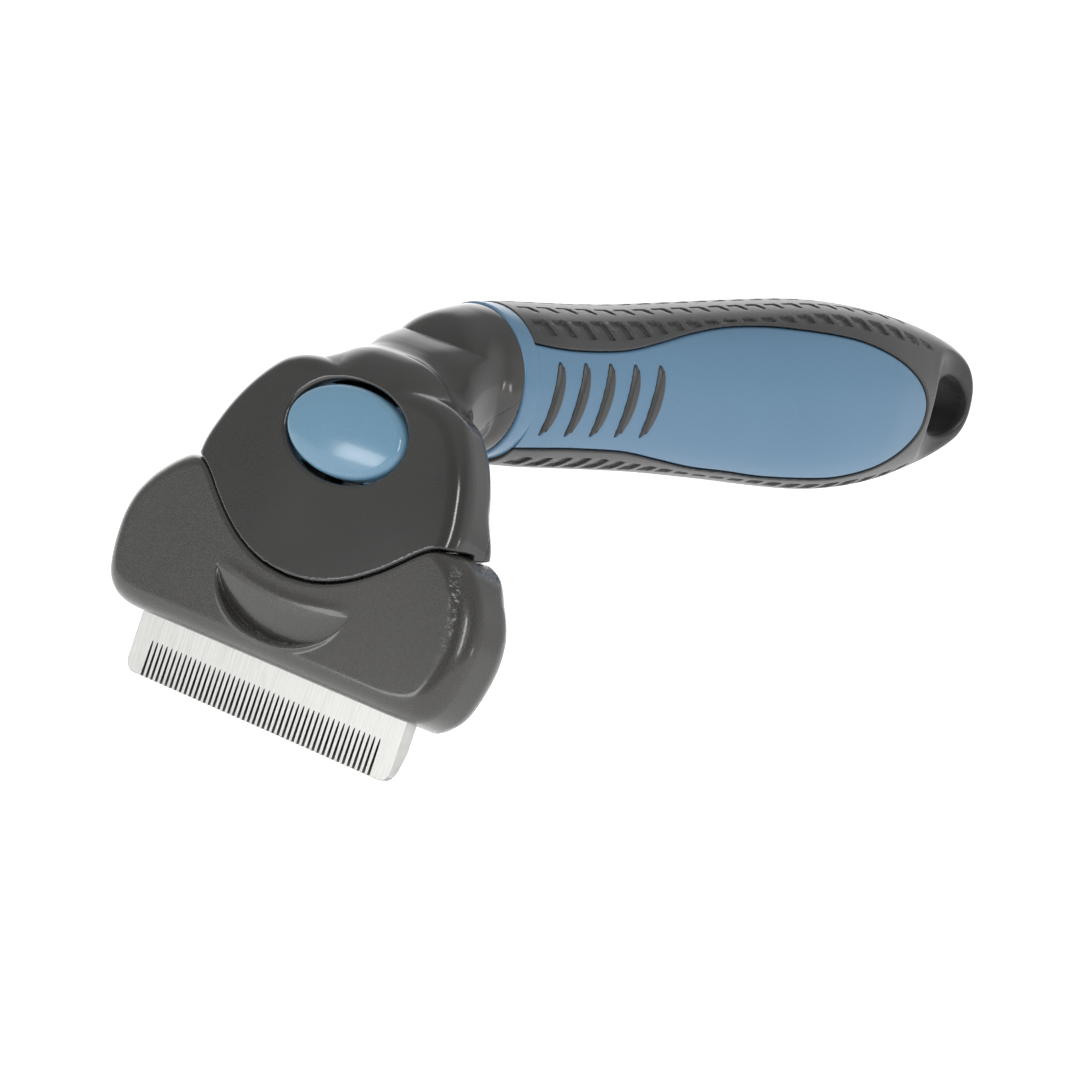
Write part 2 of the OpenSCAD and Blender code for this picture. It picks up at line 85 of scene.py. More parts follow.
# ------------------------------------------------------------------ curves
def spline(points, steps=24):
    """Catmull-Rom curve through the points"""
    points = np.asarray(points, float)
    last = len(points) - 1
    t = (np.arange(steps) / steps)[:, None]
    parts = []
    for i in range(last):
        p0, p1, p2, p3 = (points[min(max(i + k, 0), last)] for k in (-1, 0, 1, 2))
        parts.append(0.5 * (2 * p1 + (p2 - p0) * t + (2 * p0 - 5 * p1 + 4 * p2 - p3) * t * t
                            + (3 * p1 - p0 - 3 * p2 + p3) * t ** 3))
    parts.append(points[-1:])
    return np.concatenate(parts)


def curve(rows, step=0.02):
    """a smooth 1-D function through [position, value] rows"""
    pos, val = np.asarray(rows, float).T
    slope = np.empty(len(pos))
    slope[1:-1] = (val[2:] - val[:-2]) / (pos[2:] - pos[:-2])
    slope[0] = (val[1] - val[0]) / (pos[1] - pos[0])
    slope[-1] = (val[-1] - val[-2]) / (pos[-1] - pos[-2])
    grid = np.arange(pos[0], pos[-1] + step, step)
    k = np.clip(np.searchsorted(pos, grid, side="right") - 1, 0, len(pos) - 2)
    span = pos[k + 1] - pos[k]
    t = np.clip((grid - pos[k]) / span, 0, 1)
    fine = ((2 * t ** 3 - 3 * t ** 2 + 1) * val[k] + (t ** 3 - 2 * t ** 2 + t) * slope[k] * span
            + (-2 * t ** 3 + 3 * t ** 2) * val[k + 1] + (t ** 3 - t ** 2) * slope[k + 1] * span)
    return lambda where: np.interp(where, grid, fine)


def ease(start, end, x):
    t = np.clip((x - start) / (end - start), 0.0, 1.0)
    return t * t * (3 - 2 * t)


# ------------------------------------------------------------------ signed fields, negative inside
def join(*solids):
    return reduce(np.minimum, solids)


def meet(*solids):
    return reduce(np.maximum, solids)


def cut(solid, *tools):
    return meet(solid, *[-tool for tool in tools])


def smooth_join(a, b, width):
    blend = np.maximum(width - np.abs(a - b), 0.0) / width
    return np.minimum(a, b) - blend * blend * width * 0.25


def round_meet(a, b, radius):
    """intersection with a rounded edge"""
    return (np.minimum(np.maximum(a, b), -radius)
            + np.hypot(np.maximum(a + radius, 0), np.maximum(b + radius, 0)))


def round_join(a, b, radius):
    """union with a fillet"""
    return -round_meet(-a, -b, radius)


def post(place, centre, radius, start, end):
    """cylinder along the middle axis of place, about a centre in the other two"""
    a, along, b = place
    return meet(np.hypot(a - centre[0], b - centre[1]) - radius, start - along, along - end)


def box(place, *ranges):
    return meet(*[side for v, (low, high) in zip(place, ranges) for side in (low - v, v - high)])


class Grid2D:
    """bicubic sampling of values on a regular grid; outside it the distance to it is added"""

    def __init__(self, u_start, v_start, step, values):
        self.u_start, self.v_start, self.step = u_start, v_start, step
        self.flat = np.ascontiguousarray(values).ravel()
        self.shape = values.shape

    @staticmethod
    def weights(t):
        t2 = t * t
        t3 = t2 * t
        return (-0.5 * t3 + t2 - 0.5 * t, 1.5 * t3 - 2.5 * t2 + 1,
                -1.5 * t3 + 2 * t2 + 0.5 * t, 0.5 * t3 - 0.5 * t2)

    def __call__(self, u, v):
        gu, gv = (u - self.u_start) / self.step, (v - self.v_start) / self.step
        cu = np.clip(gu, 1, self.shape[0] - 3.001)
        cv = np.clip(gv, 1, self.shape[1] - 3.001)
        i, j = cu.astype(np.int64), cv.astype(np.int64)
        wu, wv = self.weights(cu - i), self.weights(cv - j)
        base = (i - 1) * self.shape[1] + (j - 1)
        total = 0.0
        for a in range(4):
            row = 0.0
            for b in range(4):
                row = row + wv[b] * self.flat[base + (a * self.shape[1] + b)]
            total = total + wu[a] * row
        return total + np.hypot(gu - cu, gv - cv) * self.step


def outline_field(outline, step=0.3, pad=5.0, spacing=0.08):
    """signed distance to a closed anticlockwise outline, sampled on a grid"""
    corners = np.asarray(outline, float)
    corners = corners[np.hypot(*(np.roll(corners, -1, 0) - corners).T) > 1e-6]
    dense = []
    for a, b in zip(corners, np.roll(corners, -1, 0)):
        pieces = max(1, int(math.ceil(np.hypot(*(b - a)) / spacing)))
        dense.append(a + (b - a) * (np.arange(pieces) / pieces)[:, None])
    dense = np.concatenate(dense)
    count = len(dense)
    seg = np.roll(dense, -1, 0) - dense
    seg_out = np.stack([seg[:, 1], -seg[:, 0]], 1)
    seg_out /= np.hypot(*seg_out.T)[:, None]
    corner_out = seg_out + np.roll(seg_out, 1, 0)
    low, high = dense.min(0) - pad, dense.max(0) + pad
    nu, nv = (np.ceil((high - low) / step).astype(int) + 3)
    gu, gv = np.meshgrid(low[0] + step * np.arange(nu), low[1] + step * np.arange(nv),
                         indexing="ij")
    points = np.stack([gu.ravel(), gv.ravel()], 1)
    squares = (dense ** 2).sum(1)
    distance = np.empty(len(points))
    for start in range(0, len(points), 4000):
        some = points[start:start + 4000]
        near = (squares[None] - 2 * some @ dense.T).argmin(1)
        best = np.full(len(some), 1e9)
        sign = np.ones(len(some))
        for k in (-1, 0):
            j = (near + k) % count
            raw = ((some - dense[j]) * seg[j]).sum(1) / (seg[j] ** 2).sum(1)
            away = some - dense[j] - seg[j] * np.clip(raw, 0, 1)[:, None]
            gap = np.hypot(*away.T)
            out = np.where((raw >= 1)[:, None], corner_out[(j + 1) % count], seg_out[j])
            out = np.where((raw <= 0)[:, None], corner_out[j], out)
            better = gap < best
            best = np.where(better, gap, best)
            sign = np.where(better, np.where((away * out).sum(1) >= 0, 1.0, -1.0), sign)
        distance[start:start + 4000] = best * sign
    return Grid2D(low[0], low[1], step, distance.reshape(nu, nv))


def mirrored(right):
    """closes a right half, run anticlockwise from bottom to top, with its mirror image"""
    right = np.asarray(right, float)
    left = right[::-1] * [-1, 1]
    return np.concatenate([right, left[(left[:, 0] < -1e-6)]])


def smoothed(grid, kernel, axes):
    for axis in axes:
        grid = sum(np.roll(grid, i - len(kernel) // 2, axis) * weight
                   for i, weight in enumerate(kernel))
    return grid


# ------------------------------------------------------------------ contouring
TETRAHEDRON = np.array([[1, -1, -1], [-1, -1, 1], [-1, 1, -1], [1, 1, 1]], float)
BLOCK = 6                   # cells along a block of the coarse first pass
CHUNK = 250000              # points evaluated at a time
SMALLEST_PART = 150    # loose parts with fewer faces are dropped


def run(field, points):
    values = np.empty(len(points))
    for start in range(0, len(points), CHUNK):
        some = points[start:start + CHUNK]
        values[start:start + CHUNK] = field(some[:, 0], some[:, 1], some[:, 2])
    return values


def gradient(field, points, reach=0.02):
    total = np.zeros_like(points)
    for corner in TETRAHEDRON:
        total += corner * run(field, points + reach * corner)[:, None]
    return total / (4 * reach)


def unit(vectors):
    return vectors / np.maximum(np.linalg.norm(vectors, axis=1), 1e-12)[:, None]


def corner_views(grid):
    """eight shifted views of a point grid, one for each corner of its cells"""
    return [grid[tuple(slice(k, size - 1 + k) for k, size in zip(corner, grid.shape))]
            for corner in product((0, 1), repeat=3)]


def enlarge(grid):
    return np.repeat(np.repeat(np.repeat(grid, BLOCK, 0), BLOCK, 1), BLOCK, 2)


def sample_grid(field, low, high, step, loose):
    """values on the grid points, exact only in blocks that may hold surface"""
    blocks = np.ceil((high - low) / (step * BLOCK)).astype(int)
    middles = [low[i] + (np.arange(blocks[i]) + 0.5) * BLOCK * step for i in range(3)]
    centres = np.stack(np.meshgrid(*middles, indexing="ij"), -1).reshape(-1, 3)
    coarse = run(field, centres).reshape(blocks)
    active = np.abs(coarse) < BLOCK * step * 0.8661 * loose + 0.4
    size = blocks * BLOCK + 1
    values = np.full(size, 1e3, np.float32)
    values[:-1, :-1, :-1] = enlarge(np.where(coarse < 0, -1.0, 1.0).astype(np.float32)) * 1e3
    wanted = np.zeros(size, bool)
    fine_active = enlarge(active)
    for view in corner_views(wanted):
        view |= fine_active
    values[wanted] = run(field, low + np.argwhere(wanted) * step)
    return values


def crossing(field, start, along, first, last):
    """where the surface crosses the edges start..start + along, by two secant steps"""
    t = np.clip(first / (first - last), 0.0, 1.0)
    middle = run(field, start + t[:, None] * along)
    later = (middle < 0) == (first < 0)
    t_a, f_a = np.where(later, t, 0.0), np.where(later, middle, first)
    t_b, f_b = np.where(later, 1.0, t), np.where(later, last, middle)
    fall = f_a - f_b
    steep = np.abs(fall) > 1e-9
    share = np.clip(f_a / np.where(steep, fall, 1), 0, 1)
    t = np.where(steep, t_a + (t_b - t_a) * share, t)
    return start + t[:, None] * along


def place_vertices(field, cells, cell, points, normals, low, step):
    """one vertex in each cell, where the tangent planes of its edge crossings meet"""
    edge = np.repeat(np.arange(len(points)), 4)
    known = cell >= 0
    cell, edge = cell[known], edge[known]
    size = len(cells)
    count = np.maximum(np.bincount(cell, minlength=size), 1).astype(float)
    mean = np.stack([np.bincount(cell, points[edge, k], size) for k in range(3)], 1)
    mean = mean / count[:, None]
    normal = normals[edge]
    offset = ((points[edge] - mean[cell]) * normal).sum(1)
    matrix = np.zeros((size, 3, 3))
    vector = np.zeros((size, 3))
    for i in range(3):
        vector[:, i] = np.bincount(cell, normal[:, i] * offset, size)
        for j in range(i, 3):
            entry = np.bincount(cell, normal[:, i] * normal[:, j], size)
            matrix[:, i, j] = matrix[:, j, i] = entry
    matrix += np.eye(3)[None] * (0.03 * count)[:, None, None]
    shift = np.linalg.solve(matrix, vector[:, :, None])[:, :, 0]
    centre = low + (cells + 0.5) * step
    verts = np.clip(mean + shift, centre - 0.62 * step, centre + 0.62 * step)
    # where the normals agree there is no edge to keep, so pull the vertex onto the surface
    agreement = np.sqrt(sum(np.bincount(cell, normal[:, k], size) ** 2 for k in range(3))) / count
    smooth = agreement > 0.93
    for _ in range(2):
        grad = gradient(field, verts[smooth])
        value = run(field, verts[smooth])
        move = -value[:, None] * grad / np.maximum((grad ** 2).sum(1), 0.05)[:, None]
        length = np.linalg.norm(move, axis=1)
        move *= np.minimum(1, 0.3 * step / np.maximum(length, 1e-9))[:, None]
        verts[smooth] += move
    return verts


def contour(field, low, high, step, loose):
    """dual contouring on a regular grid, so that crisp edges stay crisp"""
    low, high = np.asarray(low, float), np.asarray(high, float)
    values = sample_grid(field, low, high, step, loose)
    inside = values < 0
    corners_in = sum(view.astype(np.int8) for view in corner_views(inside))
    live = (corners_in > 0) & (corners_in < 8)
    cells = np.argwhere(live)
    cell_ids = np.full(live.shape, -1, np.int64)
    cell_ids[live] = np.arange(len(cells))
    points, normals, around, quads = [], [], [], []
    for axis in range(3):
        across = [(axis + 1) % 3, (axis + 2) % 3]
        near, far = [slice(1, -1)] * 3, [slice(1, -1)] * 3
        near[axis], far[axis] = slice(0, -1), slice(1, None)
        starts_in = inside[tuple(near)]
        edges = np.argwhere(starts_in != inside[tuple(far)])
        start = edges.copy()
        start[:, across] += 1
        end = start.copy()
        end[:, axis] += 1
        along = np.zeros(3)
        along[axis] = step
        first, last = (values[tuple(ends.T)].astype(float) for ends in (start, end))
        found = crossing(field, low + start * step, along, first, last)
        points.append(found)
        normals.append(unit(gradient(field, found, 0.012)))
        shifts = np.zeros((4, 3), int)
        shifts[:, across] = [[-1, -1], [0, -1], [0, 0], [-1, 0]]
        ids = np.stack([cell_ids[tuple((start + shift).T)] for shift in shifts], 1)
        around.append(ids)
        quads.append(np.where(~starts_in[tuple(edges.T)][:, None], ids[:, ::-1], ids))
    verts = place_vertices(field, cells, np.concatenate(around).ravel(), np.concatenate(points),
                           np.concatenate(normals), low, step)
    quads = np.concatenate(quads)
    return verts, quads[(quads >= 0).all(1)]


def components(count, quads):
    """lowest vertex number of the connected part each vertex is in"""
    start, end = quads.T.ravel(), np.roll(quads, -1, 1).T.ravel()
    label = np.arange(count)
    while True:
        lowest = np.minimum(label[start], label[end])
        new = label.copy()
        np.minimum.at(new, label[start], lowest)
        np.minimum.at(new, label[end], lowest)
        while not (new[new] == new).all():
            new = new[new]
        if (new == label).all():
            return label
        label = new


# ------------------------------------------------------------------ meshes and objects
def face_normals(verts, faces):
    corner = [verts[faces[:, k]] for k in range(faces.shape[1])]
    if len(corner) == 4:
        return unit(np.cross(corner[2] - corner[0], corner[3] - corner[1]))
    return unit(np.cross(corner[1] - corner[0], corner[2] - corner[0]))


def raw_mesh(name, verts, faces):
    mesh = bpy.data.meshes.new(name)
    sides = faces.shape[1]
    mesh.vertices.add(len(verts))
    mesh.vertices.foreach_set("co", np.asarray(verts, np.float32).ravel())
    mesh.loops.add(faces.size)
    mesh.loops.foreach_set("vertex_index", np.asarray(faces, np.int32).ravel())
    mesh.polygons.add(len(faces))
    mesh.polygons.foreach_set("loop_start", np.arange(0, faces.size, sides, dtype=np.int32))
    mesh.polygons.foreach_set("loop_total", np.full(len(faces), sides, np.int32))
    mesh.update(calc_edges=True)
    return mesh


def listed_mesh(name, verts, faces):
    mesh = bpy.data.meshes.new(name)
    mesh.from_pydata(to_scene(verts).tolist(), [], faces)
    mesh.update()
    return mesh


def link_new(name, data):
    ob = bpy.data.objects.new(name, data)
    bpy.context.scene.collection.objects.link(ob)
    return ob


def hand_over(ob, node, body):
    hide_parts(node)
    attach(ob, body)


def decimate(verts, faces, limit):
    mesh = raw_mesh("tmp", verts, faces)
    ob = link_new("tmp", mesh)
    ob.modifiers.new("d", "DECIMATE").ratio = limit / (len(faces) * 2.0)
    graph = bpy.context.evaluated_depsgraph_get()
    fewer = bpy.data.meshes.new_from_object(ob.evaluated_get(graph), depsgraph=graph)
    fewer.calc_loop_triangles()
    tris = np.empty(len(fewer.loop_triangles) * 3, np.int32)
    fewer.loop_triangles.foreach_get("vertices", tris)
    places = np.empty(len(fewer.vertices) * 3, np.float32)
    fewer.vertices.foreach_get("co", places)
    bpy.data.objects.remove(ob)
    bpy.data.meshes.remove(mesh)
    bpy.data.meshes.remove(fewer)
    return places.reshape(-1, 3).astype(float), tris.reshape(-1, 3)


def build(name, node, field, bounds, step, slot, material, body="handle",
          limit=190000, loose=1.2):
    """contours a field into an object of at most limit triangles"""
    verts, faces = contour(field, *bounds, step, loose)
    label = components(len(verts), faces)
    size = np.bincount(label[faces[:, 0]], minlength=len(verts))
    faces = faces[size[label[faces[:, 0]]] >= SMALLEST_PART]
    used = np.unique(faces)
    remap = np.full(len(verts), -1)
    remap[used] = np.arange(len(used))
    verts, faces = verts[used], remap[faces]
    if len(faces) * 2 > limit:
        verts, faces = decimate(verts, faces, limit)
    # the field's own normals, except where a corner is too far from its face's
    exact = unit(gradient(field, verts))[faces.ravel()]
    mesh = raw_mesh(name, to_scene(verts), faces)
    mesh.materials.append(material)
    flat = np.repeat(face_normals(verts, faces), faces.shape[1], 0)
    normals = np.where(((exact * flat).sum(1) > 0.84)[:, None], exact, flat)
    mesh.normals_split_custom_set(normals.astype(np.float32).tolist())
    hand_over(link_new(name, mesh), node, body)


def build_pair(name, node, field, low, high, *args):
    """a piece for the right side and its mirror image for the left"""
    build(f"{name}_right", f"{node}_right", field, (low, high), *args)
    build(f"{name}_left", f"{node}_left", lambda x, y, z: field(-x, y, z),
          ((-high[0], *low[1:]), (-low[0], *high[1:])), *args)


# ------------------------------------------------------------------ outlines on the face
# right halves as (x, rise): the seam between housing and cartridge, the housing's side and top,
# and the cartridge
SEAM = [[0, 1.5], [5, 1.9], [9.5, 2.9], [14.4, 4.8], [19.2, 7.5], [23, 10.2], [26.2, 12.7],
        [29, 14.4], [32, 15.2]]
SIDE = [[32.3, 15.5], [32.2, 18], [31.5, 21], [29.6, 26], [26.6, 31], [22.8, 35.2],
        [19.4, 37.2], [15, 38.2], [8, 38.45], [0, 38.5]]
CARTRIDGE = [[0, -13.4], [12, -13.4], [24, -13.4], [31, -13.4], [35.9, -13.2], [39.2, -12.2],
             [41.7, -9.8], [43.3, -5.6], [44.1, 0], [43.4, 4.9], [41.3, 8.9], [38.5, 12.0],
             [35.5, 14.2], [32.6, 15.5], [29, 16.6], [22, 17.6], [12, 18], [0, 18]]
BUTTON_RISE = 27.5
CAP_HALF = (14.15, 7.85)    # half sizes of the button cap, across and up

house2d = outline_field(mirrored(np.concatenate([[[0, -8], [16, -8], [32.3, -8], [32.3, 4]],
                                                 spline(SIDE)])))
cart2d = outline_field(mirrored(spline(CARTRIDGE)))
seam_line = spline(SEAM + [[36, 15.4], [42, 15.4], [52, 15.4]])
# negative above the seam
seam2d = outline_field(np.concatenate([seam_line, [[52, 70], [-52, 70]],
                                       (seam_line[::-1] * [-1, 1])[:-1]]))


def button_oval(half_x, half_rise):
    t = np.linspace(0, 2 * math.pi, 721)[:-1]
    outline = np.stack([half_x * np.cos(t), BUTTON_RISE + half_rise * np.sin(t)], 1)
    return outline_field(outline, step=0.25, pad=4)


hole2d = button_oval(14.5, 8.8)
cap2d = button_oval(*CAP_HALF)
flange2d = button_oval(16.2, 10.0)

# ------------------------------------------------------------------ neck
# [y, value]: z of the crest and of the underside, half width, section exponent, lip radius
neck_top = curve([[-34, -9], [-30, -4.4], [-27, -0.8], [-24.5, 1.6], [-22, 3.5], [-20, 4.7],
                  [-18.4, 5.0], [-16.8, 4.5], [-15.2, 5.1], [-13.8, 6.1], [-12.5, 7.1],
                  [-11, 8.2], [-9.5, 9.3], [-8, 10.3], [-6, 11.5], [-3.4, 12.5], [-1, 12.9],
                  [0.2, 13.0]])
neck_low = curve([[-34, -19], [-27, -21], [-22, -21.6], [-16, -20.2], [-10, -16.6], [-6, -13.6],
                  [-3, -11.6], [0.2, -10.6]])
neck_half = curve([[-34, 18], [-27, 17.6], [-21, 17.2], [-17.8, 16.7], [-15.5, 15.6],
                   [-12.5, 14.3], [-9.3, 13.0], [-6.5, 12.2], [-4.0, 12.0], [0.2, 12.95]])
neck_power = curve([[-34, 2.2], [-18, 2.2], [-15, 2.35], [-12.5, 2.75], [-9, 2.7], [-3, 2.1],
                    [0.2, 2.0]])
lip_radius = curve([[-14, 6.6], [-8, 9.2], [-5.6, 10.9], [-4, 12.0], [-2.6, 12.65],
                    [-1.2, 12.95], [0.2, 13.0]])
# [rise, depth] where the neck starts on the centre line
neck_front = curve([[28, 5.5], [33, 4.2], [34.5, 2.2], [35.6, 0.75], [36.3, 0.28], [37, 0.36],
                    [38, 0.68], [39, 1.12], [40, 1.62], [41, 2.25], [42, 3.0], [43.3, 4.25],
                    [45, 6.4], [48, 11]])


def superellipse(x, z, half_x, half_z, power):
    """first-order distance to |x/half_x|^power + |z/half_z|^power = 1"""
    a, b = np.abs(x) / half_x, np.abs(z) / half_z
    total = np.maximum(a ** power + b ** power, 1e-9)
    root = total ** (1.0 / power)
    scale = root / total
    slope_x, slope_z = scale * a ** (power - 1) / half_x, scale * b ** (power - 1) / half_z
    return (root - 1.0) / np.maximum(np.hypot(slope_x, slope_z), 1e-6)


def neck(x, y, z):
    top, low = neck_top(y), neck_low(y)
    return superellipse(x, z - (top + low) / 2, neck_half(y), (top - low) / 2,
                        neck_power(y)) * 0.93


def neck_start(side, rise):
    return neck_front(rise) + 0.022 * np.maximum(side - 4.0, 0.0) ** 2


# ------------------------------------------------------------------ head housing
SCREWS = [(20.5, 29.5), (22.5, 13.6)]   # (side, rise)
SPRING_CENTRE = (0, 31.8)
LOW_BOSS = (0, 15)
NECK_SPLIT = 15.2           # inside this half width the shells part along the neck
SHELL_DEPTH = 9.3           # outside it they part at this depth
SPLIT = 0.02                # half of the gap between the shells
SCREW_HOLE, SCREW_HEAD = 1.7, 3.1       # clearance radii
PILOT = 1.15                # radius of the holes the screws bite into
BOLT_HOLE = 2.2


def seam_step(side, depth):
    """how far the seam moves down with depth near its outer ends"""
    swing = 0.7 * ease(1.0, 6.0, depth) + 0.3 * np.maximum(depth - 7.0, 0.0)
    return (1.0 * ease(26.8, 28.6, side) * ease(6.7, 7.0, depth)
            - ease(27.0, 31.5, side) * swing)


def housing_solid(x, y, z):
    side, depth, rise = to_face(x, y, z)
    high = ease(15.0, 24.0, rise)
    outline = house2d(side, rise) + 0.12 * high * np.maximum(depth - 4.0, 0.0)
    head = round_meet(outline, -depth, 3.4)
    head = round_meet(head, depth - 11.4, 1.0 + 3.2 * high * ease(14.0, 20.0, side))
    stem = round_meet(neck(x, y, z), (neck_start(side, rise) - depth) * 0.85, 2.0)
    lip = (np.hypot(x, z) - lip_radius(y)) * 0.9
    stem = meet(smooth_join(stem, meet(lip, -6.0 - y), 0.35), y + 0.05)
    solid = round_join(head, stem, 0.35 + 1.85 * ease(1.2, 3.6, depth))
    solid = round_meet(solid, seam2d(side, rise) + 0.15 - seam_step(side, depth), 0.32)
    return join(solid, post((x, y, z), (0, 0), 9.3, -4.0, 15.0))


def housing_cavity(x, y, z):
    side, depth, rise = to_face(x, y, z)
    head = round_meet(house2d(side, rise) + 2.0, 2.0 - depth, 1.2)
    head = meet(head, depth - 9.38, side - 29.4)
    stem = meet(neck(x, y, z) + 2.4, y + 2.4, neck_start(side, rise) + 2.6 - depth)
    return join(head, stem, post((x, y, z), (0, 0), 7.2, -4.0, 12.0))


def housing_wall(x, y, z):
    return cut(housing_solid(x, y, z), housing_cavity(x, y, z))


def parting(y, z, depth):
    """negative on the front side of the parting surface beside and along the neck"""
    return join(depth - SHELL_DEPTH, 0.670 * y - 0.742 * z, -z)


def sunk_screw_holes(solid, face, centres, hole, head_start):
    for centre in centres:
        solid = cut(solid, post(face, centre, SCREW_HOLE, *hole))
        solid = round_meet(solid, -post(face, centre, SCREW_HEAD, head_start, 14), 0.2)
    return solid


def front_housing(x, y, z):
    side, depth, rise = face = to_face(x, y, z)
    shell = round_meet(housing_wall(x, y, z), -meet(hole2d(x, rise), depth - 5.0), 0.75)
    ribs = box(face, (13.3, 15.2), (1.7, 8.9), (7, 19.2))
    bosses = [post(face, centre, 3.0, 1.7, 9.1) for centre in SCREWS]
    shell = cut(join(shell, ribs, *bosses), *[post(face, centre, PILOT, 3.0, 12)
                                              for centre in SCREWS],
                post((x, y, z), (0, 0), BOLT_HOLE, 11, 17))
    room = join(meet(side - NECK_SPLIT + SPLIT, parting(y, z, depth) + SPLIT),
                depth - SHELL_DEPTH + SPLIT)
    return meet(shell, room)


def rear_housing(x, y, z):
    side, depth, _ = face = to_face(x, y, z)
    room = join(meet(side - NECK_SPLIT - SPLIT, SPLIT - parting(y, z, depth)),
                meet(NECK_SPLIT + SPLIT - side, SHELL_DEPTH + SPLIT - depth))
    shell = join(meet(housing_wall(x, y, z), room),
                 post(face, LOW_BOSS, 3.4, 8.2, 10.4),
                 post(face, SPRING_CENTRE, 2.5, 7.5, 21.5),
                 post(face, SPRING_CENTRE, 1.5, 6.4, 8))
    shell = sunk_screw_holes(shell, face, SCREWS, (8, 13), 10.3)
    return cut(shell, post(face, LOW_BOSS, PILOT, 7, 10.8),
               post((x, y, z), (0, 0), BOLT_HOLE, 11, 17))


# ------------------------------------------------------------------ cartridge
CART_DEPTH = 12.4
CART_SPLIT = 10.38          # depth at which the front shell ends
CART_SCREWS = [(9, -2), (33, 1)]        # (side, rise)
PIN = (21, -9.4)


def scoop_map():
    """depth of the hollow in the cartridge face, and the factor that makes it a distance"""
    step = 0.12
    xs = np.arange(-20, 20 + step, step)
    rises = np.arange(-13, 2.5 + step, step)
    x, rise = np.meshgrid(xs, rises, indexing="ij")
    out = np.clip(np.abs(x - 0.8) / 16.6, 0, 1)
    # [share of the half width, rise] of the upper and lower edges
    up = curve([[0, -3.2], [0.37, -2.8], [0.73, -1.9], [1.0, -1.2]], 0.005)(out)
    low = curve([[0, -10.1], [0.3, -9.7], [0.58, -8.3], [0.8, -6.1], [0.93, -3.8],
                 [1.0, -1.4]], 0.005)(out)
    span = np.maximum(up - low, 0.05)
    down = (up - rise) / span
    deepest = 2.75 * np.sqrt(np.clip(1 - out ** 2.6, 0, 1))
    fall = np.clip(down, 0, 1)
    profile = (fall ** 1.5) * (1 - 0.06 * fall ** 4)
    wall = np.clip((rise - low) / np.minimum(0.6, 0.3 * span), 0, 1)
    depth = deepest * profile * wall * wall * (3 - 2 * wall)
    depth = np.where((down > 0) & (down < 1.0) & (out < 1), depth, 0)
    # a slight swell over the upper edge and a thin rolled lip at the lower one
    swell = -0.16 * np.exp(-((rise - up - 0.9) / 0.9) ** 2) * np.clip(1 - out ** 3, 0, 1)
    lip = -0.24 * np.exp(-((rise - low + 0.5) / 0.42) ** 2) * np.clip(1 - out ** 4, 0, 1)
    depth = smoothed(depth + swell + lip, (0.06, 0.24, 0.4, 0.24, 0.06), (0, 1))
    slope_x, slope_rise = np.gradient(depth, step)
    factor = 1 / np.sqrt(1 + slope_x ** 2 + slope_rise ** 2)
    return Grid2D(xs[0], rises[0], step, depth), Grid2D(xs[0], rises[0], step, factor)


scoop_depth, scoop_factor = scoop_map()


def cartridge_solid(x, face):
    side, depth, rise = face
    scooped = (np.abs(x) < 19.5) & (rise > -12.6) & (rise < 2.1) & (depth < 6)
    spot = x[scooped], rise[scooped]
    front = -depth
    front[scooped] = (scoop_depth(*spot) - depth[scooped]) * scoop_factor(*spot)
    solid = round_meet(cart2d(side, rise), front, 3.4 + 0.8 * ease(30.0, 39.0, side))
    solid = round_meet(solid, depth - CART_DEPTH, 1.1 + 3.0 * ease(34.0, 40.0, side))
    return round_meet(solid, 0.15 + seam_step(side, depth) - seam2d(side, rise), 0.9)


def cartridge_front(x, y, z):
    side, depth, rise = face = to_face(x, y, z)
    cavity = meet(cart2d(side, rise) + 2.0, 2.2 - seam2d(side, rise), 3.75 - depth,
                  depth - CART_SPLIT)
    shell = join(cut(cartridge_solid(x, face), cavity),
                 post(face, CART_SCREWS[0], 3.2, 2.0, 4.9),
                 post(face, CART_SCREWS[1], 3.2, 1.7, 10.2),
                 post(face, PIN, 2.8, 1.7, 4.7))
    shell = cut(shell, box(face, (-1, 13.2), (4.85, 7.15), (-7.6, 8)),
                box(face, (-1, 34.1), (5.15, 8.3), (-16, -11)),
                post(face, CART_SCREWS[0], PILOT, 3.6, 6),
                post(face, CART_SCREWS[1], PILOT, 4, 12),
                post(face, PIN, 1.55, 3, 6))
    return meet(shell, depth - CART_SPLIT)


def cartridge_rear(x, y, z):
    side, depth, rise = face = to_face(x, y, z)
    room = meet(cart2d(side, rise) + 2.15, 2.35 - seam2d(side, rise))
    bosses = join(post(face, CART_SCREWS[0], 3.2, 7.1, 11), post(face, PIN, 2.8, 8.4, 11))
    shell = join(meet(cartridge_solid(x, face), 10.46 - depth), meet(bosses, room))
    shell = sunk_screw_holes(shell, face, CART_SCREWS, (6, 14), CART_DEPTH - 1.1)
    return cut(shell, post(face, PIN, 1.55, 8, 10.6))


# ------------------------------------------------------------------ button
def button_solid(x, y, z):
    """dished oval cap on a flat flange, with a stem and a recess for the spring behind"""
    _, depth, rise = face = to_face(x, y, z)
    out = np.sqrt((x / CAP_HALF[0]) ** 2 + ((rise - BUTTON_RISE) / CAP_HALF[1]) ** 2)
    top = -1.75 + 1.25 * out ** 2.4
    slope = 3.0 * out ** 1.4 / CAP_HALF[1]
    cap = round_meet(cap2d(x, rise), (top - depth) / np.sqrt(1 + slope * slope * 0.5), 1.15)
    cap = meet(cap, depth - 3.2)
    flange = meet(flange2d(x, rise), 2.15 - depth, depth - 3.2, np.abs(rise - BUTTON_RISE) - 7)
    stem = box(face, (-1, 4), (3, 7.4), (23.2, 28.8))
    return cut(join(cap, flange, stem), post(face, SPRING_CENTRE, 2.7, 1.6, 4))


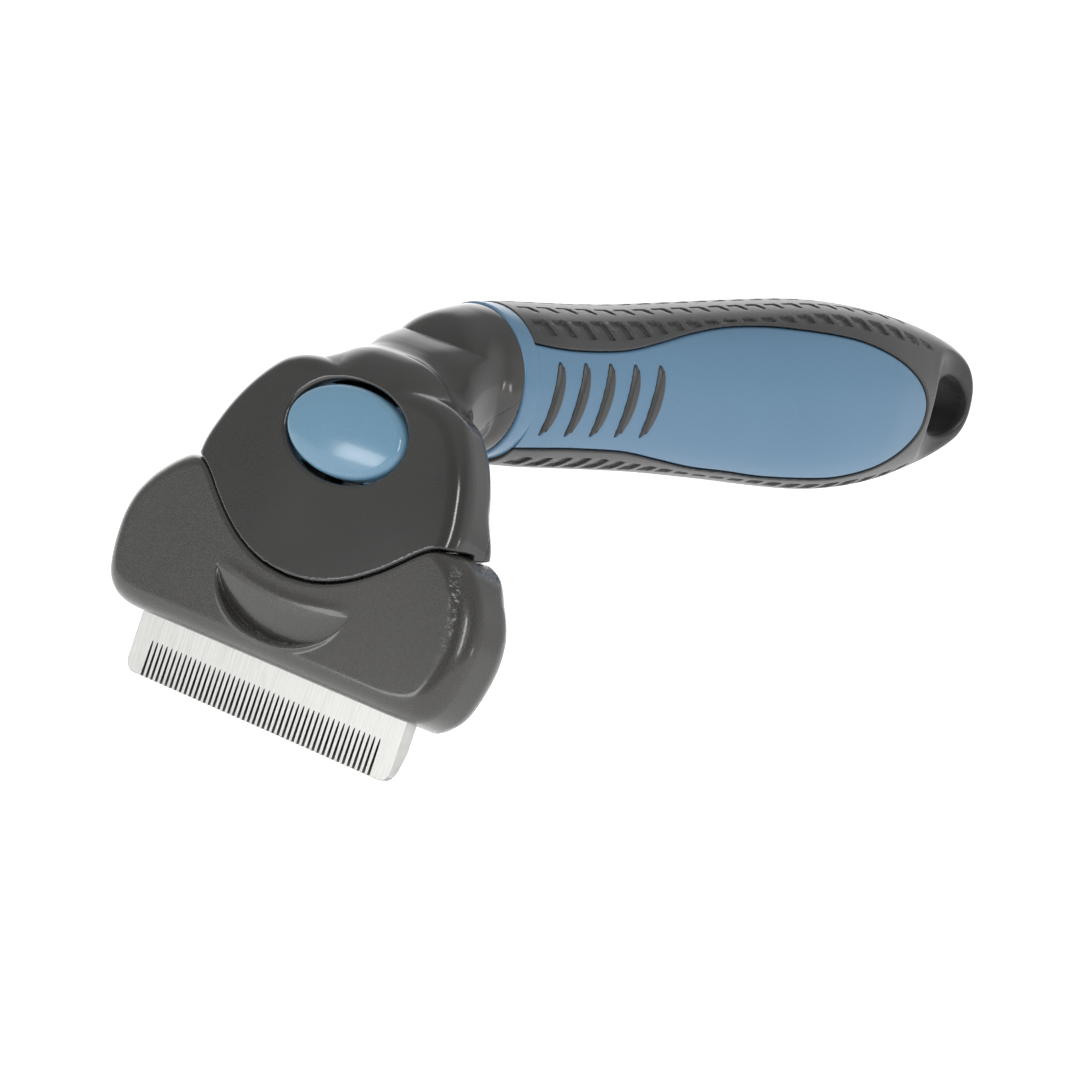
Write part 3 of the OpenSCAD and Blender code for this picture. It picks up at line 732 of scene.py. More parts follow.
# ------------------------------------------------------------------ handle
# [y, value]: z of the crest and of the underside, half width
handle_top = curve([[-2, 13.55], [0, 13.6], [29, 13.8], [46, 14.8], [64, 16], [78, 16.7],
                    [87, 16.6], [97, 15.8], [107, 14.2], [117, 11.6], [123, 9], [127.5, 5.6],
                    [131, 2.4]])
handle_low = curve([[-2, -13.5], [0, -13.7], [6, -14.4], [39, -15], [58, -16], [76, -17.2],
                    [86, -17.4], [95, -16.7], [104, -15.2], [112, -13], [118, -10.8],
                    [124, -7.6], [127.5, -5.2], [131, -2.4]])
handle_half = curve([[-2, 13.4], [0, 13.4], [29, 12.3], [46, 12.3], [64, 13], [80, 13.7],
                     [95, 13.1], [104, 11.6], [110, 10.2], [116, 9.0], [122, 7.6],
                     [127.5, 5.4], [131, 3.4]])
HANDLE_POWER = 2 / 0.87     # section exponent beyond the round start
# (y, z) outline of the smooth side panel, clockwise
PANEL = [[0, 9.3], [9, 8.3], [18, 8], [27, 8.4], [35, 9.7], [43, 11.3], [52, 12.6], [61, 13.2],
         [70, 13.2], [80, 12.7], [88, 11.6], [96, 9.2], [102.3, 5.9], [105.6, 2.6],
         [106.6, -0.4], [105.6, -4.2], [101.6, -8.2], [95.8, -11.2], [88.5, -13.1], [82, -13.7],
         [69, -13.8], [60, -13.1], [50, -12.4], [40.5, -11], [31, -9.6], [22, -9.2],
         [13, -9.1], [0, -9.5]]
panel2d = outline_field(spline(PANEL, 16)[::-1], pad=6)
HANG = (117.2, -0.3)        # (y, z) of the hanging hole
HANG_RADIUS = 5.5
SCOOP_RADIUS = 10.4         # of the hollows beside the hanging hole
SKIN = 1.8                  # thickness of the rubber
PANEL_SIDE = 5.0            # the panels lie outside this |x|


def section(x, y, z):
    top, low = handle_top(y), handle_low(y)
    surface = superellipse(x, z - (top + low) / 2, handle_half(y), (top - low) / 2,
                           2.0 + (HANDLE_POWER - 2.0) * ease(2.0, 12.0, y))
    return surface * (1.0 - 0.16 * ease(98, 124, y))


def grip_body(x, y, z):
    return round_meet(section(x, y, z), y - 126.4, 4.5)


TREAD_PITCH = 4.75
TREAD_SLANT = 0.24          # mm along the handle for each mm around it
TREAD_RADIUS = 15.0         # turns angles into mm
TREAD_Y_STEP, TREAD_ANGLE_STEP, TREAD_ANGLE_START = 0.08, 0.3, -4
# [y, degrees from the crest or keel]: edges of the deep and of the tapered row of tiles
DEEP_TOP = [[0, 25.6], [14.5, 25.5], [23.9, 24.2], [33.2, 23.3], [41.5, 23.9], [55.6, 22.6],
            [69.4, 20.9], [79.2, 18.9], [87.6, 20], [97, 22.6], [101.7, 25.9], [106.8, 29.1],
            [112, 33]]
DEEP_LOW = [[0, 40], [8.2, 40.5], [17.8, 41.9], [27.4, 41.1], [36.5, 37.7], [44.7, 32.7],
            [54.2, 27.7], [62.6, 26.9], [72.5, 27.5], [82.1, 28.5], [91.8, 32.0],
            [100.2, 34.0], [108.2, 35.5], [112, 36]]
TREAD_EDGE = [[0, 48.4], [7.8, 50.3], [16.6, 50.4], [25.6, 48.2], [34.8, 43.3], [44, 37.7],
              [53.2, 33.3], [61.9, 32.8], [70.5, 34.5], [79.1, 37.1], [86.3, 40.2],
              [93.7, 48.5], [100, 60], [130, 80]]
TAPER_TOP = [[0, 7.2], [30, 6.2], [60, 5.0], [90, 4.4], [112, 6]]
TAPER_LOW = [[0, 17.5], [30, 16.5], [60, 14], [90, 12.5], [100, 14], [112, 16]]


def tread_map():
    """depth of the moulded tread over (y, angle)"""
    y, angle = np.meshgrid(np.arange(0, 130, TREAD_Y_STEP),
                           np.arange(TREAD_ANGLE_START, 72, TREAD_ANGLE_STEP), indexing="ij")
    deep_top, deep_low, edge, taper_top, taper_low = (
        curve(rows, 0.1)(y) for rows in (DEEP_TOP, DEEP_LOW, TREAD_EDGE, TAPER_TOP, TAPER_LOW))
    deep_low = np.minimum(deep_low, edge - 7.0)

    def tiles(start, width, top, low, depth, last, wall, tapered=False):
        along = y - TREAD_SLANT * (angle - top) * math.pi / 180 * TREAD_RADIUS - start
        i = np.floor(along / TREAD_PITCH)
        u = along - i * TREAD_PITCH                                 # mm from the tile's start
        v = (angle - top) * math.pi / 180 * TREAD_RADIUS            # mm below its top edge
        height = (low - top) * math.pi / 180 * TREAD_RADIUS
        corner = 0.45
        qu = np.abs(u - width / 2) - (width / 2 - corner)
        qv = np.abs(v - height / 2) - (height / 2 - corner)
        inset = -(np.hypot(np.maximum(qu, 0), np.maximum(qv, 0))
                  + np.minimum(np.maximum(qu, qv), 0) - corner)
        down = np.clip(v / height, 0, 1)
        if tapered:
            ramp = np.maximum(np.clip((u - width * 0.45) / (width * 0.55), 0, 1) ** 1.6
                              * (1 - down * 0.85), np.clip(1 - v / 0.75, 0, 1) ** 1.2)
        else:
            floor = 0.6
            ramp = floor + (1 - floor) * np.maximum(np.clip(u / width, 0, 1) ** 2.2,
                                                    (1 - down) ** 3.0)
        side = np.clip(inset / wall, 0, 1)
        return np.where((i >= 0) & (i <= last) & (inset > 0),
                        depth * ramp * side * side * (3 - 2 * side), 0.0)

    fade = 1 - 0.75 * ease(96, 112, y)
    deep = tiles(5.3, 3.4, deep_top, deep_low, depth=0.62, last=21, wall=0.18)
    deep = deep * (0.55 + 0.45 * fade)
    taper = tiles(5.6, 3.3, taper_top, taper_low, depth=0.8, last=20, wall=0.16, tapered=True)
    return smoothed(np.maximum(deep, taper * fade), (0.2, 0.6, 0.2), (0,))


tread_depth = tread_map()
tread_flat = tread_depth.ravel()


def tread(x, y, z):
    centre = (handle_top(y) + handle_low(y)) / 2
    angle = np.degrees(np.arctan2(np.abs(x), np.abs(z - centre)))
    rows, columns = tread_depth.shape
    u = np.clip(y / TREAD_Y_STEP, 0, rows - 1.001)
    v = np.clip((angle - TREAD_ANGLE_START) / TREAD_ANGLE_STEP, 0, columns - 1.001)
    i, j = u.astype(np.int64), v.astype(np.int64)
    s, t = u - i, v - j
    near = i * columns + j
    far = near + columns
    return ((tread_flat[near] * (1 - t) + tread_flat[near + 1] * t) * (1 - s)
            + (tread_flat[far] * (1 - t) + tread_flat[far + 1] * t) * s)


def overmould(x, y, z):
    """the rubber skin with its tread, end hollows, hanging hole and panel openings"""
    side = np.abs(x)
    skin = grip_body(x, y, z)
    near = skin > -1.3
    skin[near] += tread(x[near], y[near], z[near])
    hollow = SCOOP_RADIUS - np.hypot(side - 5.4 - SCOOP_RADIUS, y - 117.9 - 0.085 * z)
    skin = round_meet(skin, hollow, 0.7)
    skin = round_meet(skin, HANG_RADIUS - np.hypot(y - HANG[0], z - HANG[1]), 0.9)
    skin = round_meet(skin, 3.62 - y, 0.3)
    skin = cut(skin, meet(section(x, y, z) + SKIN, y - 106.1))
    return round_meet(skin, -meet(panel2d(y, z) - 0.14, PANEL_SIDE - side), 0.55)


# side ribs: slanted lens shapes in (y, z), repeated along the handle
RIB_COUNT = 5
RIB_PITCH = 6.35
RIB_LOW, RIB_HEIGHT, RIB_SLANT = -6.5, 12.7, 1.8


def rib_outline():
    t = 0.5 - 0.5 * np.cos(np.pi * np.linspace(0, 1, 90))
    bulge = np.maximum(np.sin(np.pi * t), 0)
    middle = np.stack([7 + RIB_SLANT * t + 0.6 * bulge ** 0.6, RIB_LOW + RIB_HEIGHT * t], -1)
    half = 0.06 + 1.02 * bulge ** 0.45
    half = np.stack([half, 0 * half], 1)
    return np.concatenate([middle + half, (middle - half)[::-1]])


rib2d = outline_field(rib_outline(), step=0.2, pad=4)


def rib_shift(y):
    """y of the nearest rib, from the first one"""
    return np.clip(np.round((y - 9.6) / RIB_PITCH), 0, RIB_COUNT - 1) * RIB_PITCH


def core_right(x, y, z):
    """hard core under the rubber, with the visible side panel"""
    side = np.abs(x)
    surface = section(x, y, z)
    panel = round_meet(grip_body(x, y, z) + 0.16 * ease(3.4, 9.0, y), panel2d(y, z) + 0.1, 0.35)
    core = join(meet(surface + SKIN + 0.05, y - 106.0), meet(panel, PANEL_SIDE - side))
    core = meet(core, 3.54 - y)
    rib_slots = meet(rib2d(y - rib_shift(y), z) - 0.1, -(surface + 2.3))
    core = round_meet(core, -rib_slots, 0.12)
    for start, end in ((31, 57), (69, 92)):
        core = cut(core, meet(surface + 4.2, start - y, y - end))
    # round bores on the handle axis: radius, extent along y
    for radius, extent in ((9.5, y - 15.6), (2.2, y - 28), (4.2, np.abs(y - 20.7) - 1.7)):
        core = cut(core, meet(np.hypot(x, z) - radius, extent))
    for pin_y, pin_z in ((27, 7.5), (27, -7.5), (63, 0), (98, 0)):
        core = cut(core, meet(np.hypot(y - pin_y, z - pin_z) - 1.55, side - 5.2))
    return meet(core, 0.03 - x)


def ribs_right(x, y, z):
    surface = section(x, y, z)
    shift = rib_shift(y)
    middle = 7.5 + RIB_SLANT * np.clip((z - RIB_LOW) / RIB_HEIGHT, 0, 1) + shift
    flat = rib2d(y - shift, z)
    # the flank toward the head slopes
    slope = 0.9 * np.maximum(0.6 - (-flat + 2.5 * np.maximum(y - middle, 0.0)), 0.0)
    ribs = round_meet(surface - 0.36 + slope, flat, 0.2)
    return meet(ribs, -(surface + 2.2), PANEL_SIDE - x)


# ------------------------------------------------------------------ materials
def shade(colour, factor):
    return tuple(c * factor for c in colour)


class Shader:
    """a material around one principled shader; lengths in its textures are metres"""
    INPUTS = {"colour": "Base Color", "rough": "Roughness", "metal": "Metallic",
              "normal": "Normal", "coat": "Coat Weight", "coat_rough": "Coat Roughness",
              "spec": "Specular IOR Level", "sheen": "Sheen Weight",
              "glow_colour": "Emission Color", "glow": "Emission Strength"}

    def __init__(self, name):
        self.material = bpy.data.materials.new(name)
        self.material.use_nodes = True
        self.tree = self.material.node_tree
        self.tree.nodes.clear()
        output = self.add("ShaderNodeOutputMaterial")
        self.principled = self.add("ShaderNodeBsdfPrincipled")
        self.feed(self.principled.outputs[0], output.inputs[0])
        self.position = self.add("ShaderNodeTexCoord").outputs["Object"]

    def add(self, kind, **props):
        node = self.tree.nodes.new(kind)
        for key, value in props.items():
            setattr(node, key, value)
        return node

    def feed(self, value, socket):
        """links a socket, or sets a number or an RGB colour"""
        if isinstance(value, bpy.types.NodeSocket):
            self.tree.links.new(value, socket)
            return
        if isinstance(value, tuple) and len(value) == 3:
            value = (*value, 1.0)
        socket.default_value = value

    def math(self, operation, a, b=0.0):
        node = self.add("ShaderNodeMath", operation=operation)
        self.feed(a, node.inputs[0])
        self.feed(b, node.inputs[1])
        return node.outputs[0]

    def axes(self):
        node = self.add("ShaderNodeSeparateXYZ")
        self.feed(self.position, node.inputs[0])
        return node.outputs

    def mapping(self, scale, turn_y=0):
        node = self.add("ShaderNodeMapping")
        node.inputs["Scale"].default_value = scale
        node.inputs["Rotation"].default_value = (0.0, math.radians(turn_y), 0.0)
        self.feed(self.position, node.inputs["Vector"])
        return node.outputs[0]

    def noise(self, scale, detail=2.0, rough=0.5, vector=None, distortion=0.0):
        node = self.add("ShaderNodeTexNoise")
        node.inputs["Scale"].default_value = scale
        node.inputs["Detail"].default_value = detail
        node.inputs["Roughness"].default_value = rough
        node.inputs["Distortion"].default_value = distortion
        self.feed(self.position if vector is None else vector, node.inputs["Vector"])
        return node.outputs["Fac"]

    def ramp(self, value, over, to=(0.0, 1.0)):
        """maps one range onto another, clamped"""
        node = self.add("ShaderNodeMapRange", clamp=True)
        self.feed(value, node.inputs["Value"])
        for key, number in zip(("From Min", "From Max", "To Min", "To Max"), (*over, *to)):
            node.inputs[key].default_value = number
        return node.outputs["Result"]

    def mix(self, factor, a, b):
        node = self.add("ShaderNodeMix", data_type="RGBA")
        for value, index in ((factor, 0), (a, 6), (b, 7)):
            self.feed(value, node.inputs[index])
        return node.outputs[2]

    def bump(self, height, strength, distance):
        node = self.add("ShaderNodeBump")
        node.inputs["Strength"].default_value = strength
        node.inputs["Distance"].default_value = distance
        self.feed(height, node.inputs["Height"])
        return node.outputs[0]

    def finish(self, **values):
        for key, value in values.items():
            self.feed(value, self.principled.inputs[self.INPUTS[key]])
        return self.material


def moulded(name, colour, rough, grain, grain_scale=4200.0, coat=0.0, spread=0.03):
    """injection-moulded plastic: faint colour drift, fine grain and a little sheen variation"""
    mat = Shader(name)
    drift = mat.noise(scale=28.0, detail=3.0)
    fine = mat.noise(scale=grain_scale, detail=3.0, rough=0.6)
    tint = mat.mix(mat.ramp(drift, over=(0.35, 0.65)), shade(colour, 1 - spread),
                   shade(colour, 1 + spread))
    tint = mat.mix(mat.ramp(fine, over=(0.45, 0.75), to=(0.0, 0.25)), tint,
                   tuple(min(1, c * 1.5 + 0.01) for c in colour))
    sheen = mat.ramp(fine, over=(0.3, 0.7), to=(rough - 0.04, rough + 0.05))
    sheen = mat.math("ADD", sheen, mat.ramp(drift, over=(0.3, 0.7), to=(-0.03, 0.03)))
    return mat.finish(colour=tint, rough=sheen, coat=coat, coat_rough=0.08,
                      normal=mat.bump(fine, strength=grain, distance=0.00006))


def scuffed_plastic():
    mat = Shader("cartridge_plastic")
    drift = mat.noise(scale=30.0, detail=3.0)
    fine = mat.noise(scale=3400.0, detail=3.0, rough=0.65)
    brush = mat.noise(scale=900.0, detail=4.0, rough=0.6,
                      vector=mat.mapping(scale=(1.0, 1.0, 3.2), turn_y=-28))
    base = (0.030, 0.029, 0.026)
    tint = mat.mix(mat.ramp(drift, over=(0.35, 0.65)), shade(base, 0.88), shade(base, 1.12))
    tint = mat.mix(mat.ramp(fine, over=(0.5, 0.78), to=(0.0, 0.4)), tint, (0.085, 0.08, 0.07))
    tint = mat.mix(mat.ramp(brush, over=(0.56, 0.75), to=(0.0, 0.22)), tint,
                   (0.075, 0.071, 0.063))
    # scuffing beside the right-hand edge, which is taken as a parabola in x over z
    edge_x, edge_z, edge_bend = 0.0434, 0.025, 34.0
    x, _, z = mat.axes()
    off = mat.math("SUBTRACT", z, edge_z)
    bend = mat.math("MULTIPLY", mat.math("MULTIPLY", off, off), edge_bend)
    inset = mat.math("SUBTRACT", mat.math("ADD", x, bend), edge_x)
    band = mat.math("MULTIPLY", mat.ramp(inset, over=(-0.0046, -0.0039)),
                    mat.ramp(inset, over=(-0.0022, -0.0029)))
    high = mat.math("MULTIPLY", mat.ramp(z, over=(0.022, 0.032)),
                    mat.ramp(z, over=(0.0378, 0.0362)))
    scratch = mat.noise(scale=2100.0, detail=4.0, rough=0.7, distortion=1.2,
                        vector=mat.mapping(scale=(0.4, 1.0, 1.0), turn_y=20))
    scuff = mat.math("MULTIPLY", mat.math("MULTIPLY", band, high),
                     mat.ramp(scratch, over=(0.53, 0.62)))
    tint = mat.mix(mat.math("MULTIPLY", scuff, 0.85), tint, (0.42, 0.42, 0.41))
    rough = mat.ramp(fine, over=(0.3, 0.7), to=(0.23, 0.33))
    rough = mat.math("SUBTRACT", rough, mat.math("MULTIPLY", scuff, 0.12))
    height = mat.math("ADD", fine,
                      mat.math("MULTIPLY", scratch, mat.math("MULTIPLY", scuff, 0.9)))
    return mat.finish(colour=tint, rough=rough, coat=0.55, coat_rough=0.11,
                      normal=mat.bump(height, strength=0.5, distance=0.00009))


def rubber():
    mat = Shader("grip_rubber")
    drift = mat.noise(scale=40.0, detail=3.0)
    fine = mat.noise(scale=4200.0, detail=3.0, rough=0.7)
    tint = mat.mix(mat.ramp(drift, over=(0.3, 0.7)), (0.028, 0.0285, 0.0295),
                   (0.037, 0.0375, 0.039))
    tint = mat.mix(mat.ramp(fine, over=(0.5, 0.8), to=(0.0, 0.4)), tint, (0.07, 0.07, 0.072))
    # painted shade: the inside of the hanging hole is darkened to near black and loses most of its
    # specular
    x, y, z = mat.axes()
    off_y = mat.math("SUBTRACT", y, (HANG[0] + ORIGIN[1]) / 1000.0)
    off_z = mat.math("SUBTRACT", z, (HANG[1] + ORIGIN[2]) / 1000.0)
    radius = mat.math("SQRT", mat.math("ADD", mat.math("MULTIPLY", off_y, off_y),
                                       mat.math("MULTIPLY", off_z, off_z)))
    hole = mat.math("MULTIPLY", mat.ramp(radius, over=(0.0064, 0.0052)),
                    mat.ramp(mat.math("ABSOLUTE", x), over=(0.0066, 0.0046)))
    tint = mat.mix(hole, tint, (0.004, 0.004, 0.004))
    return mat.finish(spec=mat.math("SUBTRACT", 0.5, mat.math("MULTIPLY", hole, 0.42)),
                      colour=tint, rough=mat.ramp(fine, over=(0.3, 0.7), to=(0.29, 0.40)),
                      sheen=0.12, normal=mat.bump(fine, strength=0.3, distance=0.00008))


def brushed_steel():
    """steel brushed up and down, with painted shade that darkens the walls of the slots"""
    mat = Shader("blade_steel")
    stretched = mat.mapping(scale=(1.0, 0.04, 0.04))
    lines = mat.noise(scale=3600.0, detail=3.0, rough=0.7, vector=stretched)
    broad = mat.noise(scale=520.0, vector=stretched)
    tint = mat.mix(mat.ramp(lines, over=(0.32, 0.7)), (0.40, 0.40, 0.388), (0.62, 0.62, 0.60))
    tint = mat.mix(mat.ramp(broad, over=(0.35, 0.7), to=(0.0, 0.4)), tint, (0.56, 0.56, 0.545))
    # painted shade: faces that look along x, the walls of the slots, are darkened to near black
    normal = mat.add("ShaderNodeSeparateXYZ")
    mat.feed(mat.add("ShaderNodeNewGeometry").outputs["True Normal"], normal.inputs[0])
    wall = mat.ramp(mat.math("ABSOLUTE", normal.outputs[0]), over=(0.55, 0.85))
    x = mat.axes()[0]
    wall = mat.math("MULTIPLY", wall,
                    mat.ramp(mat.math("ABSOLUTE", x), over=(0.0336, 0.0330)))
    tint = mat.mix(mat.math("MULTIPLY", wall, 0.88), tint, (0.05, 0.05, 0.048))
    spots = mat.noise(scale=430.0)
    tint = mat.mix(mat.ramp(spots, over=(0.74, 0.78), to=(0.0, 0.5)), tint, (0.35, 0.33, 0.30))
    return mat.finish(colour=tint, metal=1.0,
                      rough=mat.ramp(lines, over=(0.3, 0.7), to=(0.30, 0.44)),
                      normal=mat.bump(lines, strength=0.22, distance=0.00005))


def plain_steel(name, colour, rough):
    mat = Shader(name)
    fine = mat.noise(scale=2600.0, detail=3.0, rough=0.6)
    drift = mat.noise(scale=120.0)
    tint = mat.mix(mat.ramp(drift, over=(0.35, 0.65)), shade(colour, 0.86), colour)
    return mat.finish(colour=tint, metal=1.0,
                      rough=mat.ramp(fine, over=(0.3, 0.7), to=(rough - 0.06, rough + 0.08)),
                      normal=mat.bump(fine, strength=0.12, distance=0.00004))


BLUE = (0.100, 0.205, 0.322)
house_mat = moulded("housing_plastic", (0.0265, 0.026, 0.0248), rough=0.17, grain=0.08,
                    grain_scale=5200.0, coat=0.4, spread=0.12)
cart_mat = scuffed_plastic()
accent_mat = moulded("accent_plastic", BLUE, rough=0.33, grain=0.10)
button_mat = moulded("button_plastic", (0.136, 0.272, 0.386), rough=0.16, grain=0.03,
                     coat=0.25, spread=0.02)
collar_mat = moulded("collar_plastic", BLUE, rough=0.22, grain=0.05)
tongue_mat = moulded("tongue_plastic", (0.05, 0.05, 0.052), rough=0.42, grain=0.2,
                     grain_scale=3600.0, spread=0.12)
rubber_mat = rubber()
blade_mat = brushed_steel()
spring_mat = plain_steel("spring_steel", (0.55, 0.54, 0.52), rough=0.26)
fastener_mat = plain_steel("fastener_steel", (0.50, 0.50, 0.49), rough=0.34)
pin_mat = plain_steel("pin_steel", (0.62, 0.62, 0.60), rough=0.28)


# ------------------------------------------------------------------ pieces made from fields
def face_box(half_x, depths, rises):
    corners = np.array([from_face(*corner)
                        for corner in product((-half_x, half_x), depths, rises)])
    return corners.min(0), corners.max(0)


head_box = face_box(33.5, (-1, 12.5), (0.5, 40))
head_box[1][1:] = 15.6, 14.2        # y and z that take in the neck
build("front_shell", "front_housing", front_housing, head_box, 0.3, "head_plastic", house_mat)
build("rear_shell", "rear_housing", rear_housing, head_box, 0.3, "head_plastic", house_mat)
build("cartridge_face", "cartridge_front", cartridge_front,
      face_box(44.4, (-1, 11.4), (-14.4, 17.0)), 0.27, "cartridge_plastic", cart_mat, "cartridge")
build("cartridge_back", "cartridge_rear", cartridge_rear,
      face_box(44.4, (6.6, 13.4), (-14.4, 17.0)), 0.3, "cartridge_plastic", cart_mat, "cartridge")
build("button_cap", "release_button", button_solid, face_box(17.2, (-2.6, 8.2), (16.6, 38.2)),
      0.22, "accent_plastic", button_mat, "button")
build("grip_skin", "grip_overmould", overmould, ((-15.2, 2.8, -18.6), (15.2, 128.6, 18.0)),
      0.21, "grip_rubber", rubber_mat, limit=196000, loose=1.5)
build_pair("core_shell", "handle_core", core_right, (-0.6, 2.8, -16.8), (14.8, 107.6, 16.4),
           0.3, "accent_plastic", accent_mat)
build_pair("rib_inlays", "grip_ribs", ribs_right, (8.0, 4.5, -8.5), (14.6, 42.5, 8.5),
           0.16, "grip_rubber", rubber_mat)


# ------------------------------------------------------------------ blade
def blade():
    """a plate with slots open at its lower edge, tilted a little against the face"""
    pitch, slots, slot_width, half_width = 1.27, 47, 0.62, 33.9
    corner = 2.4                # radius of the lower outer corners
    tip = -4.9                  # height of the tips in the plate's own frame
    depth_at, rise_at = 6.23, -19.08    # origin of the plate's frame on the face
    tilt = math.radians(6.1)
    # heights above the tips: up to the slots' closed ends, then the solid plate
    slot_rows = np.array([0.0, 0.08, 0.22, 0.45, 0.85, 1.4, 2.0, 2.4, 3.2, 4.0, 4.68, 5.2,
                          5.65, 6.0, 6.25, 6.4, 6.5])
    plate_rows = [6.9, 7.6, 8.6, 9.8, 11.0, 12.4, 14.0, 16.0, 17.9]
    heights = np.concatenate([slot_rows, plate_rows])
    closed_row, last_row = len(slot_rows) - 1, len(heights) - 1

    # half width of a slot: straight taper, then an elliptic end, with the tips eased off
    taper = slot_width / 2 + (0.36 - 0.5) * slot_width * slot_rows / 4.68
    rounded = 0.36 * slot_width * np.sqrt(np.clip(1 - ((slot_rows - 4.68) / 1.82) ** 2, 0, 1))
    half = np.where(slot_rows <= 4.68, taper, rounded)
    half = half + np.interp(slot_rows, [0, 0.08, 0.22], [0.07, 0.02, 0.0])
    half[-1] = 0.0
    half = np.pad(half, (0, len(plate_rows)))
    slot_x = (np.arange(slots) - (slots - 1) / 2) * pitch
    bow = np.sqrt(np.clip(1 - ((corner - heights) / corner) ** 2, 0, 1))
    edge = np.where(heights < corner, half_width - corner + corner * bow, half_width)
    tip_share = np.clip(1 - heights / 0.22, 0, 1)
    surfaces = (0.22 * tip_share ** 2,
                1.0 + 1.4 * np.clip(heights / 5.5, 0, 1) - 0.35 * tip_share)
    verts, ids = [], {}

    def vertex(tooth, right, row, rear):
        """a tooth's left or right edge; teeth share their edges where the slots have closed"""
        gap = tooth + right
        key = (rear, row, gap) if row >= closed_row else (rear, row, tooth, right)
        if key not in ids:
            if gap == 0:
                x = -edge[row]
            elif gap == slots + 1:
                x = edge[row]
            else:
                x = slot_x[gap - 1] + (-half[row] if right else half[row])
            thick, up = surfaces[rear][row], tip + heights[row]
            ids[key] = len(verts)
            verts.append((x, depth_at + thick * math.cos(tilt) - up * math.sin(tilt),
                          rise_at + thick * math.sin(tilt) + up * math.cos(tilt)))
        return ids[key]

    faces = []
    for tooth in range(slots + 1):
        for row in range(last_row):
            (a, b, c, d), (a2, b2, c2, d2) = (
                [vertex(tooth, right, row + up, rear)
                 for right, up in ((0, 0), (1, 0), (1, 1), (0, 1))] for rear in (0, 1))
            faces += [(a, b, c, d), (a2, d2, c2, b2)]
            if row < closed_row or tooth == 0:
                faces.append((a, d, d2, a2))
            if row < closed_row or tooth == slots:
                faces.append((b, b2, c2, c))
        faces.append([vertex(tooth, right, 0, rear)
                      for right, rear in ((0, 0), (0, 1), (1, 1), (1, 0))])
        faces.append([vertex(tooth, right, last_row, rear)
                      for right, rear in ((0, 0), (1, 0), (1, 1), (0, 1))])
    mesh = listed_mesh("blade_plate", from_face(*np.array(verts).T), faces)
    mesh.materials.append(blade_mat)
    ob = link_new("blade_plate", mesh)
    mesh.shade_smooth()
    mesh.set_sharp_from_angle(angle=math.radians(28))
    bevel = ob.modifiers.new("edge", "BEVEL")
    bevel.width = 0.00005
    bevel.segments = 2
    bevel.limit_method = "ANGLE"
    bevel.angle_limit = math.radians(35)
    hand_over(ob, "comb_blade", "cartridge")


blade()


# ------------------------------------------------------------------ collar and spring
def arc(centre, radius, start, end, steps):
    t = np.radians(np.linspace(start, end, steps + 1))
    return np.stack([centre[0] + radius * np.cos(t), centre[1] + radius * np.sin(t)], 1)


def collar():
    """a (radius, y) profile turned about the handle axis"""
    inner, outer, length, steps = 9.5, 13.45, 3.52, 288
    big, small = 0.5, 0.05      # roundings of the outer edges
    profile = np.concatenate([[[inner, 0.0]], arc((outer - big, big), big, -90, 0, 12),
                              arc((outer - small, length - small), small, 0, 90, 4),
                              [[inner, length]]])[::-1]
    turn = np.linspace(0, 2 * math.pi, steps + 1)[:-1]
    count = len(profile)
    radius, y = profile.T
    verts = np.stack([np.outer(np.cos(turn), radius), np.broadcast_to(y, (steps, count)),
                      np.outer(np.sin(turn), radius)], -1).reshape(-1, 3)
    i, j = np.meshgrid(np.arange(steps), np.arange(count), indexing="ij")
    i2, j2 = (i + 1) % steps, (j + 1) % count
    faces = np.stack([i * count + j, i * count + j2, i2 * count + j2, i2 * count + j], -1)
    mesh = raw_mesh("collar_band", to_scene(verts), faces.reshape(-1, 4))
    mesh.materials.append(collar_mat)
    mesh.set_sharp_from_angle(angle=math.radians(32))
    hand_over(link_new("collar_band", mesh), "collar_ring", "handle")


def spring():
    coil, wire, turns, steps, sides = 2.15, 0.28, 5, 40, 14
    start, end = 1.7, 7.4       # depths
    count = turns * steps
    verts = []
    for i in range(count + 1):
        turn = 2 * math.pi * i / steps
        # the end coils lie closer together
        share = np.interp(i / count, [0, 0.14, 0.86, 1], [0, 0.06, 0.94, 1])
        depth = start + wire + (end - start - 2 * wire) * share
        for j in range(sides):
            around = 2 * math.pi * j / sides
            radius = coil + wire * math.cos(around)
            verts.append((radius * math.cos(turn), depth + wire * math.sin(around),
                          SPRING_CENTRE[1] + radius * math.sin(turn)))
    faces = [(i * sides + j, (i + 1) * sides + j, (i + 1) * sides + (j + 1) % sides,
              i * sides + (j + 1) % sides) for i in range(count) for j in range(sides)]
    faces.append(tuple(range(sides)))
    faces.append(tuple(count * sides + j for j in reversed(range(sides))))
    mesh = listed_mesh("return_spring", from_face(*np.array(verts).T), faces)
    mesh.materials.append(spring_mat)
    mesh.shade_smooth()
    mesh.set_sharp_from_angle(angle=math.radians(50))
    ob = link_new("return_spring", mesh)
    hand_over(ob, "button_spring", "handle")
    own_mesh(ob)


collar()
spring()

# ------------------------------------------------------------------ CAD pieces kept as they are
KEPT = {"housing_screws": fastener_mat, "cartridge_screws": fastener_mat,
        "latch_screw": fastener_mat, "neck_bolt": fastener_mat, "neck_nut": fastener_mat,
        "latch_spring": spring_mat, "blade_pins": pin_mat, "core_pins": pin_mat,
        "cartridge_tongue": tongue_mat}
for node, material in KEPT.items():
    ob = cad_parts[node]
    if not ob.material_slots:
        ob.data.materials.append(material)
    for slot in ob.material_slots:
        slot.material = material


